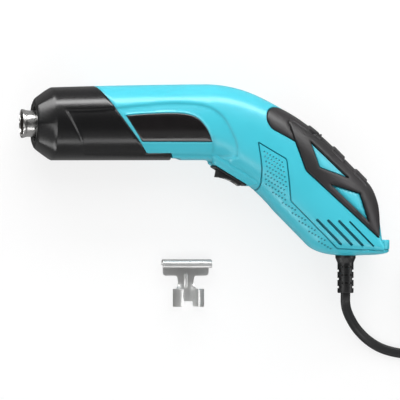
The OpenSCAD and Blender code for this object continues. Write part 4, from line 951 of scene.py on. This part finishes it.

# Grips: soft black rubber moulded over the halves. A low rounded tongue runs under a thicker
# Z-shaped pad, a groove between them, and three ribs cross the back. It looks greyer than the nylon.
# Its near-black #070707 is painted shade, mixed in at the Z pad's groove, the grip's edges and the ribs'
# feet.
rubber = plastic("tpe_rubber_dark", "#252324", "#2e2b2d", 0.38, 0.35, 0.02, ior=1.5, crevice="#070707")
z_pad = rounded([[148.9, 1.4], [151.6, 0.7], [162.7, -6.2], [166.5, -6.9], [174, -6.2], [186, -15],
                 [204, -35], [201.8, -42.5], [200.1, -63.9], [158.1, -26.0], [152.2, -9.8]], 1.2)
ribs = []
for start, end in ((-45.2, -36.6), (-27.1, -18.5), (-9.1, -0.5)):
    ends = mapped(np.array([back_end + back_way * start, back_end + back_way * end]) - 0.6)
    ribs.append((ends[0, 0], ends[1, 0]))
rib_round = 12.2


def grip_relief(xy, s, t):
    on_z = depth_in(xy, z_pad)
    rise = 0.5 + 0.35 * eased((on_z + 0.2) / 0.4)
    seam = -0.6 * bell(on_z + 0.35, 0.3)
    edge = -0.5 * (1 - np.sqrt(np.clip(1 - (1 - np.clip(in_grip(xy) / 0.8, 0, 1)) ** 2, 0, 1)))
    rib = 0
    for start, end in ribs:
        rise_here = (eased((s - start + 0.3) / 0.6) * eased((end + 0.3 - s) / 0.6)
                     * eased((rib_round + 0.3 - t) / 0.6))
        foot = bell(s - end - 0.75, 0.3) * (t < rib_round)
        rib = rib + 0.85 * rise_here - 0.3 * foot
    side_foot = -0.25 * bell(t - rib_round - 0.7, 0.35) * (s > ribs[0][0]) * (s < ribs[2][1])
    return rise + seam + edge + rib + side_foot + 0.6 * seam_relief(t)


# Painted shade for the grips: in the groove round the Z pad, along the edges, at each rib's foot and the
# seam.
def grip_shade(xy, s, t):
    on_z = depth_in(xy, z_pad)
    groove = np.clip(1.2 - np.abs(on_z + 0.35) / 0.35, 0, 1)
    edge = 0.9 * np.clip(1 - in_grip(xy) / 0.6, 0, 1)
    foot = np.max([eased((s - end + 0.25) / 0.4) * eased((end + 1.3 - s) / 0.4) * (t < rib_round + 0.4)
                   for start, end in ribs], axis=0)
    return np.max([groove, edge, foot, seam_shade(t)], axis=0)


grip_cuts = (cuts_beside(grip_cut_lines, [0]) + cuts_beside(grip_cut_lines, (0.25, 0.7))
             + cuts_beside([z_pad], (-0.7, -0.35, 0, 0.2)) + seam_cuts[:2])
rib_lines = []
for start, end in ribs:
    rib_lines += [[[start - d, 0], [start - d, rib_round + d], [end + d, rib_round + d], [end + d, 0]]
                  for d in (-0.35, 0.35)]
    rib_lines += [[[end + d, 0], [end + d, rib_round]] for d in (0.75, 1.2)]
rib_lines += [[[ribs[0][0], rib_round + d], [ribs[2][1], rib_round + d]] for d in (0.75, 1.2)]
grip_cuts += [(fine(line, 0.9, closed=False), False) for line in rib_lines]
grip_ends = mapped(np.vstack([grip_tongue, grip_pad]))
low, high = grip_ends.min(axis=0) - 1, grip_ends.max(axis=0) + 1
grip_area = [[low[0], 0], [high[0], 0], high, [low[0], high[1]]]
for way, side in sides:
    grip = skin(way + "_grip_rubber", fine(grip_area, 1.2), [], grip_cuts, grip_relief, rubber, side,
                wall=0.9, keep=lambda p: in_grip(p[:, :2]) > 0, shade=grip_shade)
    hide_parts(way + "_grip")

# Labels: bare plates of black polycarbonate film, domed a little at the edge, glossy.
# The gloss mirrors the softbox at the top and falls off to a warm brown-black.
film = patterned("polycarbonate_film_gloss", (30, "#0b0a0b", "#141112"), (8, 0.12, 0.2), IOR=1.58,
                 Coat_Weight=0.3, Coat_Roughness=0.08)
plate_line = parallel(label_line, 0.2)
plate_cuts = cuts_beside([label_line], (0.4, 0.8))


def plate_relief(xy, s, t):
    edge = np.clip(depth_in(xy, plate_line) / 0.6, 0, 1)
    return panel_relief(xy) + 0.08 - 0.25 * (1 - np.sqrt(1 - (1 - edge) ** 2))


for way, side in sides:
    plate = skin(way + "_label_plate", mapped(plate_line), [], plate_cuts, plate_relief, film, side,
                 wall=1.1)
    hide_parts(way + "_label")

# Rocker switch: a snap-in bezel of black nylon, semi-gloss, and a rocker moulded a shade duller.
# Its white marks are printed: a dash, a ring and a double dash for the three positions.
bezel_black = plastic("nylon_bezel_semigloss", "#141415", "#1a1a1c", 0.28, 0.8, 0.008, ior=1.53)
bezel_levels = [
    (12.5, 18.8, 12.8, 0.6), (-0.02, 18.8, 12.8, 0.6), (-0.02, 20.7, 14.7, 1.1), (-0.12, 20.95, 14.95, 1.2),
    (-0.7, 21, 15, 1.2), (-0.92, 20.8, 14.8, 1.15), (-1, 20.4, 14.4, 1.0), (-1, 17.3, 11.7, 1.3),
    (-0.9, 16.9, 11.3, 1.2), (-0.5, 16.7, 11.1, 1.2), (8, 16.5, 10.9, 1.2)]
bezel_rings = []
for depth, length, width, corner in bezel_levels:
    ring = rounded_box_ring(length, width, corner, 6)
    bezel_rings.append(on_pad(ring[:, 0], depth, ring[:, 1]))
bezel = object_from("switch_bezel", *stack_rings(bezel_rings), bezel_black, "housing", sharp=45)
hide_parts("switch_body")
rocker_black = plastic("nylon_rocker_satin", "#19191b", "#202022", 0.36, 0.6, 0.01, ior=1.53)
rocker_r, axis_depth, rocker_turn = 7.9, 1.5, math.radians(10)


def on_rocker(u, depth, z):
    """Rocker coordinates, depth from its pin, to the tool frame at its resting tilt."""
    u, depth = np.broadcast_arrays(u, depth)
    cos, sin = math.cos(rocker_turn), math.sin(rocker_turn)
    return on_pad(u * cos - depth * sin, u * sin + depth * cos + axis_depth, z)


def rocker_top(u):
    return np.interp(np.abs(u), [0, 2, 3.5, 5.2, 6.9, 7.9], [-4.2, -4.28, -4.5, -4.88, -5.3, -5.4])


rocker_rings = []
for u in np.concatenate([[-7.75, -7.68, -7.45], np.linspace(-7.0, 7.0, 29), [7.45, 7.68, 7.75]]):
    pinch = math.sqrt(max(1 - max(abs(u) - 7.15, 0) ** 2 / 0.36, 0))
    wide = np.interp(abs(u), [0, 4, 7.9], [10.3, 9.75, 8.1]) - 0.9 * (1 - pinch)
    top = float(rocker_top(u)) + 0.5 * (1 - pinch)
    bottom = min(3.4, math.sqrt(max(rocker_r ** 2 - u * u, 0.5)))
    if abs(u) > 7:
        top = max(top, -math.sqrt(max(rocker_r ** 2 - u * u, 0)))
    ring = rounded_box_ring(bottom - top, wide, 0.55, 5)
    rocker_rings.append(on_rocker(np.full(len(ring), u), ring[:, 0] + (bottom + top) / 2, ring[:, 1]))
rocker = object_from("rocker_cap", *stack_rings(rocker_rings), rocker_black, "rocker", sharp=40)
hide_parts("switch_rocker")
mark_white = plastic("printed_mark_white", "#e6e6e4", "#f2f2f0", 0.5, 0.5, 0.004)
mark_points, mark_faces = [], []


def add_mark(outer, inner=None):
    """One printed mark: a thin film that follows the cap, a filled outline or a ring."""
    base, n = len(mark_points), len(outer)
    under = n if inner is None else 2 * n
    for lift in (0.06, -0.05):
        for u, z in np.vstack([outer] if inner is None else [outer, inner]):
            mark_points.append(on_rocker(u, rocker_top(u) - lift, z))
    for k in range(base, base + n):
        after = base + (k - base + 1) % n
        mark_faces.append((after, k, under + k, under + after))
        if inner is not None:
            mark_faces.append((k, after, n + after, n + k))
            mark_faces.append((n + k, n + after, under + n + after, under + n + k))
    if inner is None:
        mark_faces.append(tuple(range(base, base + n)))


def dash(u, length=3.0, width=0.62):
    return np.array([[-width, -length], [width, -length], [width, length], [-width, length]]) / 2 + [u, 0]


add_mark(dash(-5.4))
add_mark(2.15 * way_at(full_turn(40)), 1.55 * way_at(full_turn(40)))
add_mark(dash(4.9))
add_mark(dash(6.0))
marks = object_from("rocker_marks", np.array(mark_points).reshape(-1, 3), mark_faces, mark_white, "rocker")

# Outlet tube: stainless, spun with a rolled lip and polished round, so it mirrors the softboxes as bands.
# Heat has dulled it a little. Its bore is finished near-black, painted shade for the dark inside of its
# mouth.
tube_steel, tree, shader, place = new_finish("stainless_spun_heat_tinted", Metallic=1.0)
tree.links.new(tinted(tree, place, 9, "#bdbcba", "#d2d1d0"), shader.inputs["Base Color"])
tree.links.new(ranged(tree, place, 2, 0.16, 0.3), shader.inputs["Roughness"])
stretched = add(tree, "Mapping", {"Vector": place, "Scale": (30, 1, 1)})
tree.links.new(grained(tree, stretched.outputs["Vector"], 9, 0.006), shader.inputs["Normal"])
tube_around = 96
tube_profile = [
    (0.25, 7.3), (0.05, 7.42), (0.0, 7.6), (0.05, 7.85), (0.25, 8.04), (0.5, 8.1), (0.9, 8.08), (1.3, 7.97),
    (1.8, 7.78), (2.3, 7.6), (2.9, 7.47), (3.6, 7.4), (19.2, 7.4), (23.7, 10.8), (27.7, 10.8), (27.7, 10.1),
    (23.9, 10.1), (19.5, 6.7), (2.4, 6.7), (2.0, 6.85), (1.5, 7.1), (0.8, 7.25)]
tube_rings = [np.c_[np.full(tube_around, x), -r * way_at(full_turn(tube_around))] for x, r in tube_profile]
points, faces = stack_rings(tube_rings + tube_rings[:1], capped=False)
tube = object_from("outlet_tube", points, [f[::-1] for f in faces], tube_steel, "housing", sharp=40)
# Painted shade: the bore takes a near-black finish in place of the shade inside the tube.
tube.data.materials.append(patterned("stainless_bore_painted_shade", (4, "#141210", "#241f1b"), (3, 0.5, 0.7),
                                     Metallic=0.7))
mouth_inside = range(16, 21)
for face in tube.data.polygons:
    if face.index // tube_around in mouth_inside:
        face.material_index = 1
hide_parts("nozzle")

# Cord sleeve: soft black PVC, moulded over the cord, with a flared collar that the halves hold and
# six rows of staggered slots that let it bend. It is as dull as the cord, so only the slots stand out.
sleeve_pvc = plastic("pvc_sleeve_soft", "#09090a", "#0f0f11", 0.42, 0.8, 0.02, ior=1.53)
sleeve_long, sleeve_r, slot_depth, sleeve_around = 21.0, 4.55, 1.0, 96
sleeve_at = exit_point + [0, sleeve_long, 0]
collar = [(-0.7, 3.0), (-0.7, 5.4), (-0.5, 5.65), (-0.2, 5.72), (1.3, 5.72), (1.55, 5.6), (2.6, 5.15),
          (3.6, 4.72), (4.2, 4.57), (5.0, sleeve_r)]
sleeve_profile = [(d, r, None) for d, r in collar]
for i in range(6):
    for d, slotted in ((-0.62, None), (-0.5, i % 2), (0.5, i % 2), (0.62, None)):
        sleeve_profile.append((6.2 + 2.3 * i + d, sleeve_r, slotted))
sleeve_profile += [(d, r, None) for d, r in ((20.3, sleeve_r), (20.8, 4.42), (sleeve_long, 4.15),
                                           (sleeve_long, 2.0))]
sleeve_turn = full_turn(sleeve_around)
sleeve_rings = []
for d, r, slotted in sleeve_profile:
    radius = np.full(sleeve_around, r)
    if slotted is not None:
        facing = np.cos(2 * sleeve_turn) * (1 if slotted else -1)
        radius = radius - slot_depth * eased((facing - 0.05) / 0.12)
    sleeve_rings.append(sleeve_at + np.insert(radius[:, None] * way_at(sleeve_turn), 1, -d, axis=1))
sleeve = object_from("cord_sleeve", *stack_rings(sleeve_rings), sleeve_pvc, "housing", sharp=35)
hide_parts("strain_relief")

# Clip-on reflector: one piece of stainless sheet, 0.6 mm, blanked, with a pressed stiffening rib, its
# lower arms rolled to grip the outlet tube and its upper edge curled over into the hood. It is brushed
# along its width, which draws its highlights out into soft streaks.
brushed = patterned("stainless_sheet_brushed", (12, "#c9c9c8", "#d6d6d5"), (0.9, 0.28, 0.33), (0.9, 0.0005),
                    stretch=(0.06, 1, 1), Metallic=0.6)
sheet_thick, hood_r, hood_start, lip_r = 0.6, 3.0, -79.2, 2.4
roll_r, roll_degrees, roll_start, roll_run = 8.5, 152, -88.6, 3.4
reflector_x, flat_z, roll_z = 97, -20.2, -11.7
half_rolled = math.pi * roll_r * roll_degrees / 180
half_corners = [([[0, -68.2], [14, -68.2], [14, -79.1], [13.1, -79.4]], 0.35),
                ([[13.1, -79.4], [13.1, -85.2], [4.9, -85.2], [4.4, -88.5]], 2.2),
                ([[4.4, -88.5], [4.4, -90.2], [6.2, -92.5], [8, -92.5]], 1.5),
                ([[8, -92.5], [half_rolled, -92.5], [half_rolled, -102.5], [4, -102.5], [4, -99.5],
                  [0, -99.5]], 0.7)]
half_pattern = np.vstack([rounded(corners, radius, closed=False, step=0.9)[:-1]
                          for corners, radius in half_corners] + [[[0, -99.5]]])
pattern = np.vstack([half_pattern, (half_pattern * [-1, 1])[-2:0:-1]])
rib_foot, rib_head = -91.2, -84.8


def folded(uv):
    u, v = uv[:, 0], uv[:, 1]
    rolled = eased((roll_start - v) / roll_run)
    x = lerp(u, roll_r * np.sin(u / roll_r), rolled)
    z = lerp(flat_z, roll_z - roll_r * np.cos(u / roll_r), rolled)
    a = np.clip((v - hood_start) / hood_r, 0, math.pi)
    past = np.maximum(v - hood_start - math.pi * hood_r, 0) / lip_r
    y = np.where(v > hood_start, hood_start + hood_r * np.sin(a) - lip_r * np.sin(past), v)
    z = z + hood_r * (1 - np.cos(a)) - lip_r * (1 - np.cos(past))
    return np.c_[x + reflector_x, y, z]


def folded_normal(uv, step=0.05):
    across = folded(uv + [step, 0]) - folded(uv - [step, 0])
    along = folded(uv + [0, step]) - folded(uv - [0, step])
    normal = np.cross(across, along)
    return normal / np.linalg.norm(normal, axis=1)[:, None]


pattern_lines = [(pattern, True), (parallel(pattern, -0.15), True)]
for reach in (0.25, 0.6, 0.95, 1.1):
    round_rib = way_at(full_turn(24) + 0.01)
    ends = np.where(round_rib[:, 1] > 0, rib_head, rib_foot)
    pattern_lines.append((np.c_[reach * round_rib[:, 0], ends + reach * round_rib[:, 1]], True))
grid = np.array([(x, y) for y in np.arange(-102.5, -68, 0.8) for x in np.arange(-23, 23.1, 0.8)])
grid = grid[inside(grid, pattern)]
grid = grid[clear_of(grid, np.vstack([line for line, _ in pattern_lines]), 0.4)]
flat_points, flat_faces = flat_net(pattern_lines, grid, pattern)
from_rib = segment_distance(flat_points, np.array([[0, rib_foot], [0, rib_head]]), False)
rib_lift = 0.55 * eased((1.1 - from_rib) / 0.85)
soft_edge = 0.12 * (1 - np.clip(np.abs(depth_in(flat_points, pattern)) / 0.15, 0, 1))
middle, normal = folded(flat_points), folded_normal(flat_points)
upper = middle + normal * (sheet_thick / 2 + rib_lift - soft_edge)[:, None]
under = middle + normal * (rib_lift + soft_edge - sheet_thick / 2)[:, None]
n = len(flat_points)
sheet_faces = [tuple(f) for f in flat_faces] + [tuple(n + k for k in f[::-1]) for f in flat_faces]
sheet_faces += [(b, a, n + a, n + b) for a, b in open_edges(flat_faces)]
reflector = object_from("reflector_sheet", np.vstack([upper, under]), sheet_faces, brushed, "reflector",
                        sharp=35)
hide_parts("reflector")
# Floor and light: a white paper sweep, in a room that is white behind the tool and dimmer where its black
# and bright pieces mirror it. Long softboxes beyond its back draw the band along the shoulder, one in front
# lifts the underside, and smaller ones off both ends light the cone, the tube and the grips.
floor_half, floor_glow = 3, 0.75
room_matt, room_front, room_sides = 0.53, 0.1, 0.36
floor_mesh = bpy.data.meshes.new("floor")
floor_mesh.from_pydata([(x * floor_half, y * floor_half, 0) for x, y in ((-1, -1), (1, -1), (1, 1), (-1, 1))],
                       [], [(0, 1, 2, 3)])
floor = bpy.data.objects.new("floor", floor_mesh)
bpy.context.scene.collection.objects.link(floor)
paper, tree, shader, place = new_finish("white_paper_sweep", Roughness=0.8)
tree.links.new(tinted(tree, place, 60, "#fcfcfc", "#fefefe"), shader.inputs["Base Color"])
rays = add(tree, "LightPath").outputs
seen = add(tree, "Math", {0: rays["Is Camera Ray"], 1: rays["Is Transmission Ray"]}, operation="MAXIMUM")
lifted = add(tree, "Math", {0: seen.outputs["Value"], 1: floor_glow}, operation="MULTIPLY")
glow = add(tree, "Emission", {"Color": (1, 1, 1, 1), "Strength": 1.0})
lit_paper = add(tree, "MixShader", {0: lifted.outputs["Value"], 1: shader.outputs["BSDF"],
                                    2: glow.outputs["Emission"]})
tree.links.new(lit_paper.outputs[0], tree.nodes["Material Output"].inputs["Surface"])
floor_mesh.materials.append(paper)
bpy.context.scene.view_settings.view_transform = "Standard"
world = bpy.data.worlds.new("studio")
world.use_nodes = True
bpy.context.scene.world = world
tree = world.node_tree
for made in list(tree.nodes):
    tree.nodes.remove(made)
rays = add(tree, "LightPath").outputs
facing = add(tree, "SeparateXYZ", {0: add(tree, "TexCoord").outputs["Generated"]})
sideways = add(tree, "Math", {0: facing.outputs["Y"]}, operation="ABSOLUTE").outputs["Value"]
walls = add(tree, "MapRange", {"Value": sideways, "From Min": 0.18, "From Max": 0.34,
                               "To Min": room_front, "To Max": room_sides})
plain, glossy, white = [add(tree, "Background", {"Color": (1, 1, 1, 1), "Strength": strength}).outputs[0]
                        for strength in (room_matt, walls.outputs["Result"], 1.0)]
mixed = add(tree, "MixShader", {0: rays["Is Glossy Ray"], 1: plain, 2: glossy})
seen = add(tree, "Math", {0: rays["Is Camera Ray"], 1: rays["Is Transmission Ray"]}, operation="MAXIMUM")
shown = add(tree, "MixShader", {0: seen.outputs["Value"], 1: mixed.outputs[0], 2: white})
tree.links.new(shown.outputs[0], add(tree, "OutputWorld").inputs["Surface"])
floor.visible_glossy = False
# Each softbox: its name, place and size in metres, radiance, and the surfaces that it lights.
softboxes = [
    ("back_box", (0, 0.69, 0.4), (1.3, 0.2), 5.9, "all"),
    ("gleam_box", (0, 0.68, 0.39), (1.3, 0.2), 6.0, "glossy"),
    ("key_box", (0, 0.5, 0.7), (1.2, 0.4), 1.3, "matt"),
    ("under_box", (0, -0.56, 0.58), (1.0, 0.2), 2.6, "all"),
    ("nose_high_box", (-0.7, 0.7, 0.12), (0.5, 0.4), 7.0, "glossy"),
    ("nose_low_box", (-0.7, -0.7, 0.12), (0.5, 0.3), 4.5, "glossy"),
    ("right_box", (0.6, 0.35, 0.42), (0.5, 0.34), 2.0, "glossy"),
    ("left_top_box", (-0.5, -0.1, 0.5), (0.24, 0.4), 3.0, "glossy"),
    ("right_low_box", (0.75, -0.15, 0.3), (0.4, 0.3), 3.0, "glossy")]
for name, where, size, radiance, lights in softboxes:
    lamp = bpy.data.lights.new(name, "AREA")
    lamp.shape = "RECTANGLE"
    lamp.size, lamp.size_y = size
    lamp.energy = radiance * math.pi * size[0] * size[1]
    box = bpy.data.objects.new(name, lamp)
    box.location = where
    box.visible_diffuse = lights != "glossy"
    box.visible_glossy = lights != "matt"
    box.rotation_euler = (aim - Vector(where)).to_track_quat("-Z", "Y").to_euler()
    bpy.context.scene.collection.objects.link(box)
